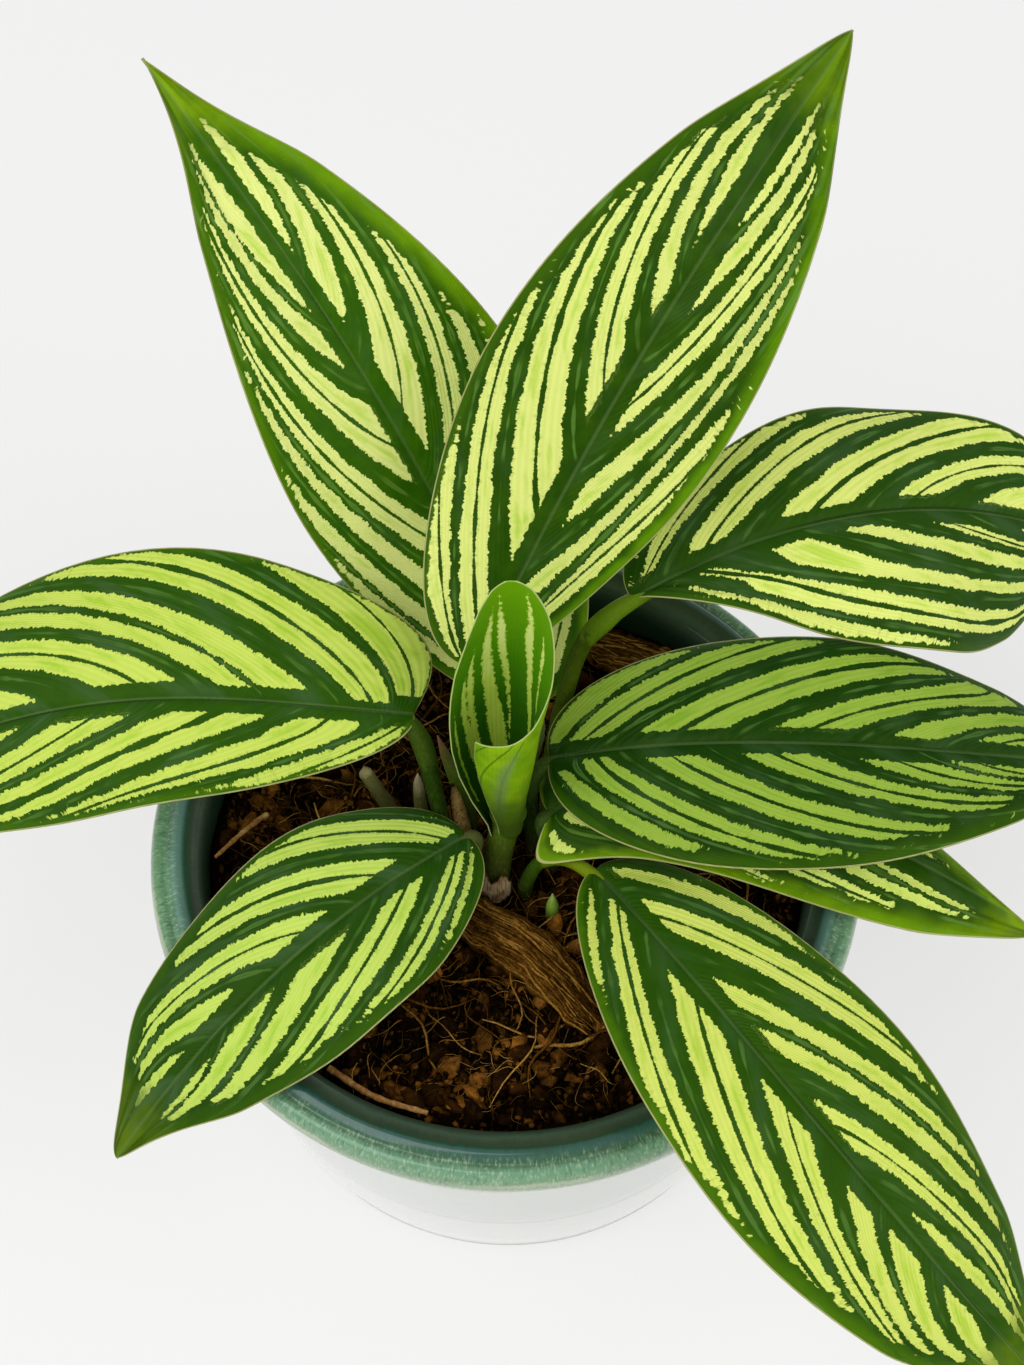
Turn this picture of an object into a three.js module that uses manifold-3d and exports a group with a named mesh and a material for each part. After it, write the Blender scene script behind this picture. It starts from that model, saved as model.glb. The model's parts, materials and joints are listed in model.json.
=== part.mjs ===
// A potted calathea: a glazed pot filled with coir, eight open leaves, a rolled new leaf and young shoots.
// Millimetres, +Z up. The origin is the centre of the pot's flat base, and -Y is the front.
// Every leaf is one piece with its petiole, and each petiole stands in a plain hole in the coir.
import * as THREE from "three";
import { mergeVertices } from "three/addons/utils/BufferGeometryUtils.js";
import Module from "manifold-3d";

const wasm = await Module();
wasm.setup();

// ---------------------------------------------------------------- driving dimensions

const POT_RADIUS = 75; // outside of the rolled rim
const POT_HEIGHT = 96; // flat base to the crown of the rim
const POT_SIDES = 48;
const FLOOR_THICK = 8; // floor of the pot inside
const CLEAR = 0.3; // gap between one piece and the next

const SOIL_LEVEL = 85.2; // top of the coir at the plant's crown
const SOIL_RADIUS = 63.4; // at its top, just inside the pot's wall
const SOIL_RINGS = 12;
const HOLE_BOTTOM = 72; // the holes for the stems end here
const CROWN = [-1, -3]; // middle of the ring of stems, x and y
const CROWN_RADIUS = 15; // level patch of coir round the stems
const CHIPS = 36; // coir chips, larger than life
const FIBRES = 12; // loose curved fibres
const FIBRE_RADIUS = 0.55;
const LITTER_GAP = 3; // chips and fibres stay this far off the lone stems and the lying stalk
const HOLE_SIDES = 12;

const BLADE_THICK = 0.8;
const BLADE_ROWS = 14; // steps from the base of a blade to its tip
const BLADE_COLUMNS = 6; // steps from one margin to the other
const LEAST_HALF_WIDTH = 0.45; // of a blade at its two ends
const TIP_STRETCH = [0.8, 1]; // where a blade draws in to its pointed tip
const STEM_SIDES = 6;

// The upright foot of a stem: stations [x, y, z, radius] from the bottom of its hole to just over the coir.
const FOOT_HEIGHTS = [HOLE_BOTTOM, SOIL_LEVEL + 0.6, SOIL_LEVEL + 3];
const standing = (x, y, radius) => FOOT_HEIGHTS.map((z) => [x, y, z, radius]);

// ---------------------------------------------------------------- small tools

const deg = THREE.MathUtils.degToRad;
const at = (x, y, z) => new THREE.Vector3(x, y, z);

// Numbers from 0 to 1 that are the same at every run.
function seeded(seed) {
  let state = seed;
  return () => {
    state = (state * 1664525 + 1013904223) % 4294967296;
    return state / 4294967296;
  };
}

function geometryOf(points, triangles) {
  const geometry = new THREE.BufferGeometry();
  geometry.setAttribute("position", new THREE.Float32BufferAttribute(points.flat(), 3));
  geometry.setIndex(triangles.flat());
  return geometry;
}

// A closed geometry as a solid that can be joined and cut.
function solidOf(geometry) {
  const bare = geometry.clone();
  bare.deleteAttribute("normal");
  bare.deleteAttribute("uv");
  const merged = mergeVertices(bare, 1e-4);
  return new wasm.Manifold(
    new wasm.Mesh({
      numProp: 3,
      vertProperties: new Float32Array(merged.attributes.position.array),
      triVerts: new Uint32Array(merged.index.array),
    }),
  );
}

// The largest body of a solid, as a geometry: loose scraps are dropped.
function geometryFrom(solid) {
  const bodies = solid.decompose();
  const largest = bodies.reduce((a, b) => (b.volume() > a.volume() ? b : a));
  const mesh = largest.getMesh();
  const geometry = new THREE.BufferGeometry();
  geometry.setAttribute("position", new THREE.BufferAttribute(mesh.vertProperties, 3));
  geometry.setIndex(new THREE.BufferAttribute(mesh.triVerts, 1));
  return geometry;
}

const join = (first, ...others) => others.reduce((sum, one) => sum.add(one), first);

// A closed sheet with the same diagonals on both faces. Both faces are grids of points, row by row. The first
// grid is the face that looks the way of its columns' direction crossed with its rows'.
function sheet(first, second, rows, columns) {
  const across = columns + 1;
  const points = [...first, ...second];
  const under = first.length;
  const triangles = [];
  for (let i = 0; i < rows; i++)
    for (let j = 0; j < columns; j++) {
      const a = i * across + j;
      const b = a + 1;
      const c = a + across;
      const d = c + 1;
      triangles.push([a, b, d], [a, d, c]);
      triangles.push([under + a, under + d, under + b], [under + a, under + c, under + d]);
    }
  const rim = [];
  for (let j = 0; j < columns; j++) rim.push(j);
  for (let i = 0; i < rows; i++) rim.push(i * across + columns);
  for (let j = columns; j > 0; j--) rim.push(rows * across + j);
  for (let i = rows; i > 0; i--) rim.push(i * across);
  rim.forEach((a, k) => {
    const b = rim[(k + 1) % rim.length];
    triangles.push([a, under + a, under + b], [a, under + b, b]);
  });
  return geometryOf(points.map((p) => p.toArray()), triangles);
}

// A closed round stem through hand-placed stations, each [x, y, z, radius].
function stem(stations, steps, sides = STEM_SIDES) {
  const curve = new THREE.CatmullRomCurve3(
    stations.map(([x, y, z]) => at(x, y, z)),
    false,
    "centripetal",
  );
  const radiusAt = (u) => {
    const k = Math.min(u * (stations.length - 1), stations.length - 1 - 1e-9);
    const i = Math.floor(k);
    return THREE.MathUtils.lerp(stations[i][3], stations[i + 1][3], k - i);
  };
  const points = [];
  let side = at(1, 0, 0);
  for (let i = 0; i <= steps; i++) {
    const u = i / steps;
    const along = curve.getTangent(u);
    side = side.addScaledVector(along, -side.dot(along)).normalize();
    const other = along.clone().cross(side);
    const centre = curve.getPoint(u);
    for (let j = 0; j < sides; j++) {
      const a = (2 * Math.PI * j) / sides;
      const p = centre.clone();
      p.addScaledVector(side, radiusAt(u) * Math.cos(a));
      p.addScaledVector(other, radiusAt(u) * Math.sin(a));
      points.push(p.toArray());
    }
  }
  const last = steps * sides;
  const foot = points.push(curve.getPoint(0).toArray()) - 1;
  const head = points.push(curve.getPoint(1).toArray()) - 1;
  const triangles = [];
  for (let j = 0; j < sides; j++) {
    const n = (j + 1) % sides;
    for (let i = 0; i < last; i += sides)
      triangles.push([i + j, i + n, i + sides + n], [i + j, i + sides + n, i + sides + j]);
    triangles.push([foot, n, j], [head, last + j, last + n]);
  }
  return geometryOf(points, triangles);
}

const meshOf = (name, geometry, look) => {
  const mesh = new THREE.Mesh(geometry, look);
  mesh.name = name;
  return mesh;
};

// ---------------------------------------------------------------- looks

const looks = {
  glaze: new THREE.MeshStandardMaterial({ color: 0xe6e8e2, roughness: 0.15, metalness: 0 }),
  coir: new THREE.MeshStandardMaterial({ color: 0x3a2416, roughness: 0.95, metalness: 0 }),
  husk: new THREE.MeshStandardMaterial({ color: 0x7a4f2a, roughness: 0.9, metalness: 0 }),
  leaf: new THREE.MeshStandardMaterial({ color: 0x4f8a1e, roughness: 0.45, metalness: 0 }),
  shoot: new THREE.MeshStandardMaterial({ color: 0x86ab38, roughness: 0.5, metalness: 0 }),
  papery: new THREE.MeshStandardMaterial({ color: 0x94714c, roughness: 0.85, metalness: 0 }),
  straw: new THREE.MeshStandardMaterial({ color: 0xb59b6a, roughness: 0.85, metalness: 0 }),
};

// ---------------------------------------------------------------- the plant's stations

// Each open leaf.
// rib: four points that its midrib passes through, base to tip. face: the way its upper side looks.
// left and right: [widest half-width, fullness at the base, fullness at the tip], seen from above, tip away.
// pinch: how much narrower the pointed tip is than the plain curve.
// fold: the rise of each half at the midrib, in degrees. curl: how far it bends back down.
// lobe: how far each basal lobe reaches back. wave: for each margin [height, waves from base to tip, phase].
// petiole: stations [x, y, z, radius] from the bottom of its hole.
const LEAVES = {
  leaf_back_left: {
    rib: [[6, 25, 104], [-14, 53, 140], [-36, 74, 176], [-68, 110, 204]],
    face: [0.1, -0.6, 0.8],
    left: [26, 0.75, 1.15],
    right: [27, 0.75, 0.9],
    pinch: 0, fold: 8, curl: 20, lobe: [4, 4],
    wave: [[1.5, 2.2, 0.1], [2, 1.8, 0.3]],
    petiole: [...standing(3, 8, 2.2), [4.5, 15, 95, 2.1], [6, 22, 101, 2.3]],
  },
  leaf_back_centre: {
    rib: [[-6, 17, 132], [15, 42, 166], [35, 60, 198], [64, 97, 220]],
    face: [0, -0.6, 0.8],
    left: [26, 0.5, 0.77],
    right: [23, 0.75, 0.8],
    pinch: 0, fold: 8, curl: 20, lobe: [4, 4],
    wave: [[1.5, 2, 0.2], [1.5, 2, 0.6]],
    petiole: [...standing(-3, 7, 2.2), [-4, 9, 102, 2], [-6, 14, 122, 2.3]],
  },
  leaf_upper_right: {
    rib: [[26, 33, 132], [58, 44, 140], [94, 53, 134], [131, 54, 116]],
    face: [0, -0.3, 0.95],
    left: [24, 0.6, 0.7],
    right: [28, 1, 0.6],
    pinch: 0.6, fold: 8, curl: 30, lobe: [4, 4],
    wave: [[2.5, 2.6, 0.2], [2, 2, 0.1]],
    petiole: [...standing(9, 5, 2.3), [10, 15, 101, 2.2], [15, 28, 118, 2.2], [21, 31, 128, 2.6]],
  },
  leaf_middle_right: {
    rib: [[9, 7, 113], [46, 4, 124], [85, 3, 122], [127, 6, 108]],
    face: [0, -0.12, 0.99],
    left: [25, 0.5, 0.7],
    right: [26, 0.6, 0.95],
    pinch: 0.4, fold: 8, curl: 30, lobe: [4, 4],
    wave: [[1, 2, 0.1], [1, 2, 0.5]],
    petiole: [...standing(6, 0.5, 1.8), [5, 3, 99, 1.7], [6, 5.5, 109, 1.9]],
  },
  leaf_lower_right: {
    rib: [[9, -0.5, 104], [38, 2, 109], [73, -9, 107], [107, -26, 98]],
    face: [0, -0.1, 0.95],
    left: [17, 0.5, 1.3],
    right: [18, 0.6, 0.65],
    pinch: 0.2, fold: 8, curl: 30, lobe: [1, 8],
    wave: [[1, 2, 0.1], [2, 2, 0.5]],
    petiole: [...standing(9.5, -4, 1.6), [8.6, -3.4, 96, 1.5], [7.6, -1.8, 102, 1.6]],
  },
  leaf_front_right: {
    rib: [[18, -13, 102], [43, -53, 116], [68, -84, 110], [100, -114, 88]],
    face: [0.1, -0.2, 0.95],
    left: [25, 0.5, 0.62],
    right: [24, 0.6, 0.6],
    pinch: 0.5, fold: 8, curl: 30, lobe: [4, 4],
    wave: [[1, 2, 0.1], [1.5, 2, 0.5]],
    petiole: [...standing(4, -9.5, 1.8), [7, -8, 95, 1.7], [13, -9.5, 99, 1.8]],
  },
  leaf_front_left: {
    rib: [[-8, -6, 104], [-28, -24, 112], [-51, -43, 106], [-76, -68, 90]],
    face: [-0.1, -0.2, 0.95],
    left: [21, 0.6, 0.72],
    right: [22, 0.5, 0.55],
    pinch: 0.45, fold: 8, curl: 30, lobe: [4, 4],
    wave: [[2, 2.2, 0.3], [1, 2, 0.5]],
    petiole: [...standing(-9, -9.5, 1.7), [-7.6, -8, 96, 1.7], [-6.6, -5.6, 101.5, 1.8]],
  },
  leaf_left: {
    rib: [[-18, 10, 126], [-56, 8, 136], [-94, 8, 130], [-142, 1, 108]],
    face: [0, -0.3, 0.95],
    left: [22, 0.6, 0.4],
    right: [31, 0.5, 0.5],
    pinch: 0.5, fold: 8, curl: 30, lobe: [4, 4],
    wave: [[2, 2, 0.4], [2, 2.2, 0.1]],
    petiole: [...standing(-12.5, 1.5, 2), [-14, 1.2, 104, 1.9], [-17, 7, 121, 2.3]],
  },
};

// The rolled new leaf: its own stem, then the cone of the blade. Each cone station is
// [z, radius, end of the left half, end of the right half], both turns in degrees from the midrib at the back.
const NEW_LEAF_STEM = [...standing(-2.6, -7.4, 3.3), [-1.6, -4.9, 95, 3.1], [0, -2.4, 102, 3]];
const NEW_LEAF_FOOT = at(0, -2.5, 101);
const NEW_LEAF_TOP = at(1.5, 8.2, 165);
const NEW_LEAF_CONE = [
  [101, 3.2, 128, 212],
  [108, 4.9, 120, 216],
  [115, 6.4, 114, 226],
  [122, 7.8, 110, 234],
  [129, 8.9, 106, 236],
  [135, 9.4, 102, 232],
  [138, 9.6, 100, 196],
  [142, 9.7, 96, 140],
  [148, 9.5, 90, 98],
  [154, 8.9, 76, 76],
  [160, 8, 58, 56],
  [163.5, 7.4, 36, 34],
  [165, 7, 12, 10],
];
const NEW_LEAF_COLUMNS = 14;
const NEW_LEAF_FLARE = 0.14; // the left margin stands this share of the radius further out
const NEW_LEAF_TUCK = 0.2; // the wrapped right margin lies this share further in

// Young shoots and sheaths: stations [x, y, z, radius] from the bottom of each hole.
const SHOOTS = {
  pink_tipped_shoot: [...standing(-8, 6, 1.9), [-10, 8.5, 99, 1.7], [-14, 13.5, 111, 0.5]],
  pale_bud: [...standing(-18, 6, 1.5), [-18.5, 8.5, 96, 1.3], [-18.5, 10, 101, 0.6]],
  green_bud: [...standing(9.5, -15, 1.4), [9.5, -14.6, 89, 1.2], [9.5, -14, 92.5, 0.5]],
  cut_stub: [...standing(-24, 7, 1.7), [-26.5, 8.5, 94, 1.6], [-29.5, 10.5, 100.5, 1.5]],
};
const BROWN_SHEATH = [...standing(-8.4, -2.8, 2), [-9, -1, 95, 1.8], [-11, 5.2, 104.5, 0.5]];
const TORN_SHEATH = { middle: [-2.6, -7.4], radius: 4.1, from: -132, to: -46, foot: 76, top: 91.5, tear: 2.2 };
const DRY_STALKS = {
  dry_stalk_long: [...standing(-50, 20, 0.9), [-54, 16, 91.5, 0.8], [-60, 10, 95, 0.6]],
  dry_stalk_short: [...standing(-52, 7, 0.8), [-56, 2, 90.5, 0.7], [-61, -5, 93, 0.5]],
};
const LYING_STALK = { from: [-36, -49], to: [-16, -58.5], bow: 1.5, radius: 0.9 };

// Husk pieces: from and to are the ends of the long axis, x and y.
const HUSKS = {
  husk_piece_front: { from: [-8, -15], to: [16, -37], width: 11, height: 6, seed: 5 },
  husk_piece_back: { from: [19, 51], to: [39, 43], width: 9, height: 5, seed: 9 },
};

// ---------------------------------------------------------------- pot

// Half section from the axis at the bottom, round the outside and back down the inside.
const POT_OUTSIDE = [
  [0, 0], [60.5, 0], [62, 1.4], [64, 12], [66, 34], [69, 60], [71.6, 80], [72.2, 84.4],
  [74.2, 86.4], [POT_RADIUS, 89], [POT_RADIUS, 92.4], [74.1, 94.4], [72.8, 95.1], [71.6, 94.6],
  [70.5, 95.6], [69.3, POT_HEIGHT],
];
const POT_INSIDE = [
  [68.2, 95.5], [65.2, 93.7], [63.9, 91.6], [63.8, 86], [63, 62], [60.5, 26],
  [56, FLOOR_THICK], [0, FLOOR_THICK],
];

// A lathe turns its profile round +Y, so it is stood up on +Z.
function pot() {
  const section = [...POT_OUTSIDE, ...POT_INSIDE].map(([r, z]) => new THREE.Vector2(r, z));
  return geometryFrom(solidOf(new THREE.LatheGeometry(section, POT_SIDES).rotateX(Math.PI / 2)));
}

// ---------------------------------------------------------------- coir

// The stems that may stand outside the crown's level patch.
const OUTLIERS = [...Object.values(SHOOTS), ...Object.values(DRY_STALKS)];

// How far a point is inside a level patch, 1 in it and 0 outside, with a soft edge 4 mm wide.
const patch = (distance, radius) => THREE.MathUtils.clamp((radius + 4 - distance) / 4, 0, 1);

function distanceToLine([x, y], [ax, ay], [bx, by]) {
  const u = ((x - ax) * (bx - ax) + (y - ay) * (by - ay)) / ((bx - ax) ** 2 + (by - ay) ** 2);
  const k = THREE.MathUtils.clamp(u, 0, 1);
  return Math.hypot(x - ax - k * (bx - ax), y - ay - k * (by - ay));
}

// The lumpy surface of the coir, level round the stems and under whatever lies on it. The last term is crumbs:
// a wave so short that neighbouring points of the surface stand at unlike heights.
function soilHeight(x, y) {
  const lumps =
    0.9 * Math.sin(0.31 * x + 0.7) * Math.cos(0.27 * y) +
    0.7 * Math.sin(0.53 * x - 0.41 * y) +
    0.9 * Math.sin(2.9 * x + 1.7 * y) * Math.cos(2.3 * y - 1.1 * x);
  const level = Math.max(
    patch(Math.hypot(x - CROWN[0], y - CROWN[1]), CROWN_RADIUS),
    ...Object.values(HUSKS).map((h) => patch(distanceToLine([x, y], h.from, h.to), h.width / 2 + 4)),
    patch(distanceToLine([x, y], LYING_STALK.from, LYING_STALK.to), 6),
    ...OUTLIERS.map(([[sx, sy]]) => patch(Math.hypot(x - sx, y - sy), 7)),
  );
  return SOIL_LEVEL + lumps * (1 - level);
}

function soilBody() {
  const points = [];
  const triangles = [];
  const ring = (radius, height) => {
    for (let j = 0; j < POT_SIDES; j++) {
      const a = (2 * Math.PI * j) / POT_SIDES;
      const x = radius * Math.sin(a);
      const y = -radius * Math.cos(a);
      points.push([x, y, height(x, y)]);
    }
  };
  const wall = [[55.5, FLOOR_THICK + CLEAR], [60.1, 26], [62.6, 62], [SOIL_RADIUS - 0.1, 80]];
  wall.forEach(([r, z]) => ring(r, () => z));
  for (let i = 0; i < SOIL_RINGS; i++) ring(SOIL_RADIUS * (1 - i / SOIL_RINGS), soilHeight);
  const rings = wall.length + SOIL_RINGS;
  for (let i = 0; i < rings - 1; i++)
    for (let j = 0; j < POT_SIDES; j++) {
      const a = i * POT_SIDES + j;
      const b = i * POT_SIDES + ((j + 1) % POT_SIDES);
      triangles.push([a, b, b + POT_SIDES], [a, b + POT_SIDES, a + POT_SIDES]);
    }
  const bottom = points.push([0, 0, FLOOR_THICK + CLEAR]) - 1;
  const top = points.push([0, 0, soilHeight(0, 0)]) - 1;
  const last = (rings - 1) * POT_SIDES;
  for (let j = 0; j < POT_SIDES; j++) {
    const n = (j + 1) % POT_SIDES;
    triangles.push([bottom, n, j], [top, last + j, last + n]);
  }
  return solidOf(geometryOf(points, triangles));
}

// Whether a chip or fibre can lie here: clear of the stems, the wall and what lies on the coir.
function freeSpot(x, y, room) {
  const clearOfHusks = Object.values(HUSKS).every(
    (h) => distanceToLine([x, y], h.from, h.to) > h.width / 2 + room,
  );
  return (
    clearOfHusks &&
    Math.hypot(x, y) < SOIL_RADIUS - room - 1 &&
    Math.hypot(x - CROWN[0], y - CROWN[1]) > CROWN_RADIUS + room &&
    distanceToLine([x, y], LYING_STALK.from, LYING_STALK.to) > LITTER_GAP + room &&
    OUTLIERS.every(([[sx, sy]]) => Math.hypot(x - sx, y - sy) > LITTER_GAP + room)
  );
}

// Coir chips: small tilted blocks, sunk about half way.
function chips() {
  const draw = seeded(11);
  const made = [];
  while (made.length < CHIPS) {
    const radius = (SOIL_RADIUS - 3) * Math.sqrt(draw());
    const turn = 2 * Math.PI * draw();
    const x = radius * Math.sin(turn);
    const y = -radius * Math.cos(turn);
    const length = 4 + 5 * draw();
    const width = 2.5 + 2.5 * draw();
    const height = 2.5 + 1.5 * draw();
    const tilt = deg(24 * (draw() - 0.5));
    const spin = 2 * Math.PI * draw();
    if (!freeSpot(x, y, length / 2)) continue;
    const block = new THREE.BoxGeometry(length, width, height);
    block.rotateX(tilt).rotateZ(spin).translate(x, y, soilHeight(x, y) + 0.2);
    made.push(solidOf(block));
  }
  return made;
}

// Loose fibres: low arcs that dip into the coir at both ends.
function fibres() {
  const draw = seeded(23);
  const made = [];
  while (made.length < FIBRES) {
    const radius = 22 + (SOIL_RADIUS - 34) * draw();
    const turn = 2 * Math.PI * draw();
    const middle = at(radius * Math.sin(turn), -radius * Math.cos(turn), 0);
    const heading = 2 * Math.PI * draw();
    const reach = 6 + 6 * draw();
    const bow = 5 * (draw() - 0.5);
    const rise = 1.2 + 1.6 * draw();
    const stations = [-1, -0.5, 0, 0.5, 1].map((u) => {
      const x = middle.x + reach * u * Math.cos(heading) - bow * (1 - u * u) * Math.sin(heading);
      const y = middle.y + reach * u * Math.sin(heading) + bow * (1 - u * u) * Math.cos(heading);
      return [x, y, soilHeight(x, y) + rise * (1 - u * u) - 2 * FIBRE_RADIUS * Math.abs(u), FIBRE_RADIUS];
    });
    if (!stations.every(([x, y]) => freeSpot(x, y, 1.5))) continue;
    made.push(solidOf(stem(stations, 6, 4)));
  }
  return made;
}

// A plain hole for a stem that stands at these stations.
function holeFor(stations, extra = 0) {
  const [x, y, z, r] = stations[0];
  const radius = (r + CLEAR + extra) / Math.cos(Math.PI / HOLE_SIDES);
  const depth = SOIL_LEVEL + 6 - (z - CLEAR);
  const hole = new THREE.CylinderGeometry(radius, radius, depth, HOLE_SIDES);
  hole.rotateX(Math.PI / 2).translate(x, y, z - CLEAR + depth / 2);
  return solidOf(hole);
}

function growingMix() {
  const stems = [
    ...Object.values(LEAVES).map((leaf) => leaf.petiole),
    ...Object.values(SHOOTS),
    ...Object.values(DRY_STALKS),
    BROWN_SHEATH,
  ];
  const sheathRoom = TORN_SHEATH.radius + BLADE_THICK - NEW_LEAF_STEM[0][3];
  const holes = [...stems.map((s) => holeFor(s)), holeFor(NEW_LEAF_STEM, sheathRoom)];
  const whole = join(soilBody(), ...chips(), ...fibres());
  return geometryFrom(holes.reduce((mix, hole) => mix.subtract(hole), whole));
}

// A fibrous block of husk: an arched bar with ridges along its length, lying on the level coir.
function husk({ from, to, width, height, seed }) {
  const rows = 12;
  const columns = 8;
  const draw = seeded(seed);
  const ridges = Array.from({ length: columns + 1 }, () => 0.7 * draw());
  const ends = Array.from({ length: columns + 1 }, () => 2.5 * draw());
  const along = at(to[0] - from[0], to[1] - from[1], 0);
  const length = along.length();
  along.normalize();
  const across = at(-along.y, along.x, 0);
  const foot = SOIL_LEVEL + CLEAR;
  const top = [];
  const bottom = [];
  for (let i = 0; i <= rows; i++)
    for (let j = 0; j <= columns; j++) {
      const u = i / rows;
      const v = (2 * j) / columns - 1;
      const taper = 0.62 + 0.38 * Math.sin(Math.PI * (0.15 + 0.75 * u));
      const place = at(from[0], from[1], foot);
      place.addScaledVector(along, u * length + (2 * u - 1) * ends[j]);
      place.addScaledVector(across, (v * taper * width) / 2 + 0.8 * Math.sin(5 * u + seed));
      const rise = height * taper * Math.sqrt(1 - 0.75 * v * v) * (0.55 + 0.45 * Math.sin(Math.PI * u));
      bottom.push(place);
      top.push(place.clone().setZ(foot + rise + ridges[j] * Math.sin(9 * u + j)));
    }
  return sheet(bottom, top, rows, columns);
}

function lyingStalk() {
  const { from, to, bow, radius } = LYING_STALK;
  const foot = SOIL_LEVEL + CLEAR + radius + 0.1;
  const stations = [0, 0.5, 1].map((u) => {
    const out = bow * 4 * u * (1 - u);
    const x = from[0] + u * (to[0] - from[0]) - 0.4 * out;
    const y = from[1] + u * (to[1] - from[1]) - 0.9 * out;
    return [x, y, foot, radius * (1 - 0.25 * u)];
  });
  return stem(stations, 6, 6);
}

// ---------------------------------------------------------------- leaves

// The cubic curve that passes through four points at equal steps.
function ribCurve(points) {
  const [a, b, c, d] = points.map((p) => at(...p));
  const mix = (wa, wb, wc, wd) => {
    const p = a.clone().multiplyScalar(wa / 6);
    return p.addScaledVector(b, wb / 6).addScaledVector(c, wc / 6).addScaledVector(d, wd / 6);
  };
  return new THREE.CubicBezierCurve3(a, mix(-5, 18, -9, 2), mix(2, -9, 18, -5), d);
}

// Half-width of a blade at t, 0 at the base and 1 at the tip.
function halfWidth([widest, base, tip], pinch, t) {
  const peak = base / (base + tip);
  const share = (t / peak) ** base * ((1 - t) / (1 - peak)) ** tip;
  const point = 1 - pinch * THREE.MathUtils.smoothstep(t, ...TIP_STRETCH);
  return Math.max(widest * share * point, LEAST_HALF_WIDTH);
}

// A point of the blade's middle surface, and the way its upper side looks there. v runs from -1 to 1.
function bladePoint(leaf, curve, t, v) {
  const along = curve.getTangent(t);
  const up = at(...leaf.face);
  up.addScaledVector(along, -up.dot(along)).normalize();
  const side = along.clone().cross(up);
  const out = Math.abs(v);
  const half = halfWidth(v < 0 ? leaf.left : leaf.right, leaf.pinch, t);
  const rise = deg(leaf.fold - (leaf.curl * out) / 2);
  const [height, waves, phase] = leaf.wave[v < 0 ? 0 : 1];
  const fade = Math.sin(Math.PI * t) ** 0.7;
  const wave = height * out * out * fade * Math.sin(2 * Math.PI * (waves * t + phase));
  const lobe = leaf.lobe[v < 0 ? 0 : 1];
  const back = ((lobe * out * out * half) / 12) * Math.max(1 - t / 0.25, 0) ** 2;
  const point = curve.getPoint(t);
  point.addScaledVector(side, half * v * Math.cos(rise));
  point.addScaledVector(up, half * out * Math.sin(rise) + wave);
  point.addScaledVector(along, -back);
  return { point, up };
}

function blade(leaf) {
  const curve = ribCurve(leaf.rib);
  const top = [];
  const bottom = [];
  for (let i = 0; i <= BLADE_ROWS; i++)
    for (let j = 0; j <= BLADE_COLUMNS; j++) {
      const t = 0.5 - 0.5 * Math.cos((Math.PI * i) / BLADE_ROWS);
      const { point, up } = bladePoint(leaf, curve, t, (2 * j) / BLADE_COLUMNS - 1);
      top.push(point.clone().addScaledVector(up, BLADE_THICK / 2));
      bottom.push(point.clone().addScaledVector(up, -BLADE_THICK / 2));
    }
  return solidOf(sheet(top, bottom, BLADE_ROWS, BLADE_COLUMNS));
}

// The petiole runs on under the blade as its raised midrib.
function petiole(leaf) {
  const curve = ribCurve(leaf.rib);
  const under = (t, drop, radius) => {
    const { point, up } = bladePoint(leaf, curve, t, 0);
    point.addScaledVector(up, -drop);
    return [...point.toArray(), radius];
  };
  const stations = [...leaf.petiole, under(0.03, 0.8, 1.5), under(0.13, 0.6, 0.8)];
  return solidOf(stem(stations, 2 * stations.length - 2));
}

const openLeaf = (leaf) => geometryFrom(blade(leaf).add(petiole(leaf)));

// The blade of the new leaf is rolled round its axis. Its left half stands open, and its right half wraps
// round the front and tucks in behind the left margin.
function newLeaf() {
  const inner = [];
  const outer = [];
  for (const [z, radius, leftEnd, rightEnd] of NEW_LEAF_CONE) {
    const u = (z - NEW_LEAF_FOOT.z) / (NEW_LEAF_TOP.z - NEW_LEAF_FOOT.z);
    const axis = NEW_LEAF_FOOT.clone().lerp(NEW_LEAF_TOP, u);
    for (let j = 0; j <= NEW_LEAF_COLUMNS; j++) {
      const turn = THREE.MathUtils.lerp(-leftEnd, rightEnd, j / NEW_LEAF_COLUMNS);
      const drift =
        turn < 0 ? NEW_LEAF_FLARE * (turn / 110) ** 2 : -NEW_LEAF_TUCK * (Math.max(turn - 60, 0) / 170) ** 2;
      const reach = radius * (1 + drift);
      const way = at(Math.sin(deg(turn)), Math.cos(deg(turn)), 0);
      inner.push(axis.clone().addScaledVector(way, reach - BLADE_THICK / 2));
      outer.push(axis.clone().addScaledVector(way, reach + BLADE_THICK / 2));
    }
  }
  const cone = sheet(inner, outer, NEW_LEAF_CONE.length - 1, NEW_LEAF_COLUMNS);
  const plug = [...NEW_LEAF_STEM, [0.4, -1.6, 106, 3.9]];
  return geometryFrom(solidOf(cone).add(solidOf(stem(plug, 12, 10))));
}

// ---------------------------------------------------------------- sheaths

// A torn papery collar in front of the new leaf's stem: an open arc that stands in the stem's hole.
function tornSheath() {
  const { middle, radius, from, to, foot, top, tear } = TORN_SHEATH;
  const rows = 5;
  const columns = 8;
  const near = [];
  const far = [];
  for (let i = 0; i <= rows; i++)
    for (let j = 0; j <= columns; j++) {
      const v = j / columns;
      const crest = top + tear * Math.sin(11 * v) - 3 * v;
      const z = THREE.MathUtils.lerp(foot, crest, i / rows);
      const lean = 0.28 * Math.max(z - 88, 0);
      const a = deg(THREE.MathUtils.lerp(from, to, v));
      const way = at(Math.cos(a), Math.sin(a), 0);
      const centre = at(middle[0] + 0.1 * lean, middle[1] + 0.2 * lean, z);
      near.push(centre.clone().addScaledVector(way, radius - BLADE_THICK / 2 + 0.2));
      far.push(centre.clone().addScaledVector(way, radius + BLADE_THICK / 2));
    }
  return sheet(far, near, rows, columns);
}

// ---------------------------------------------------------------- the whole plant in its pot

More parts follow.
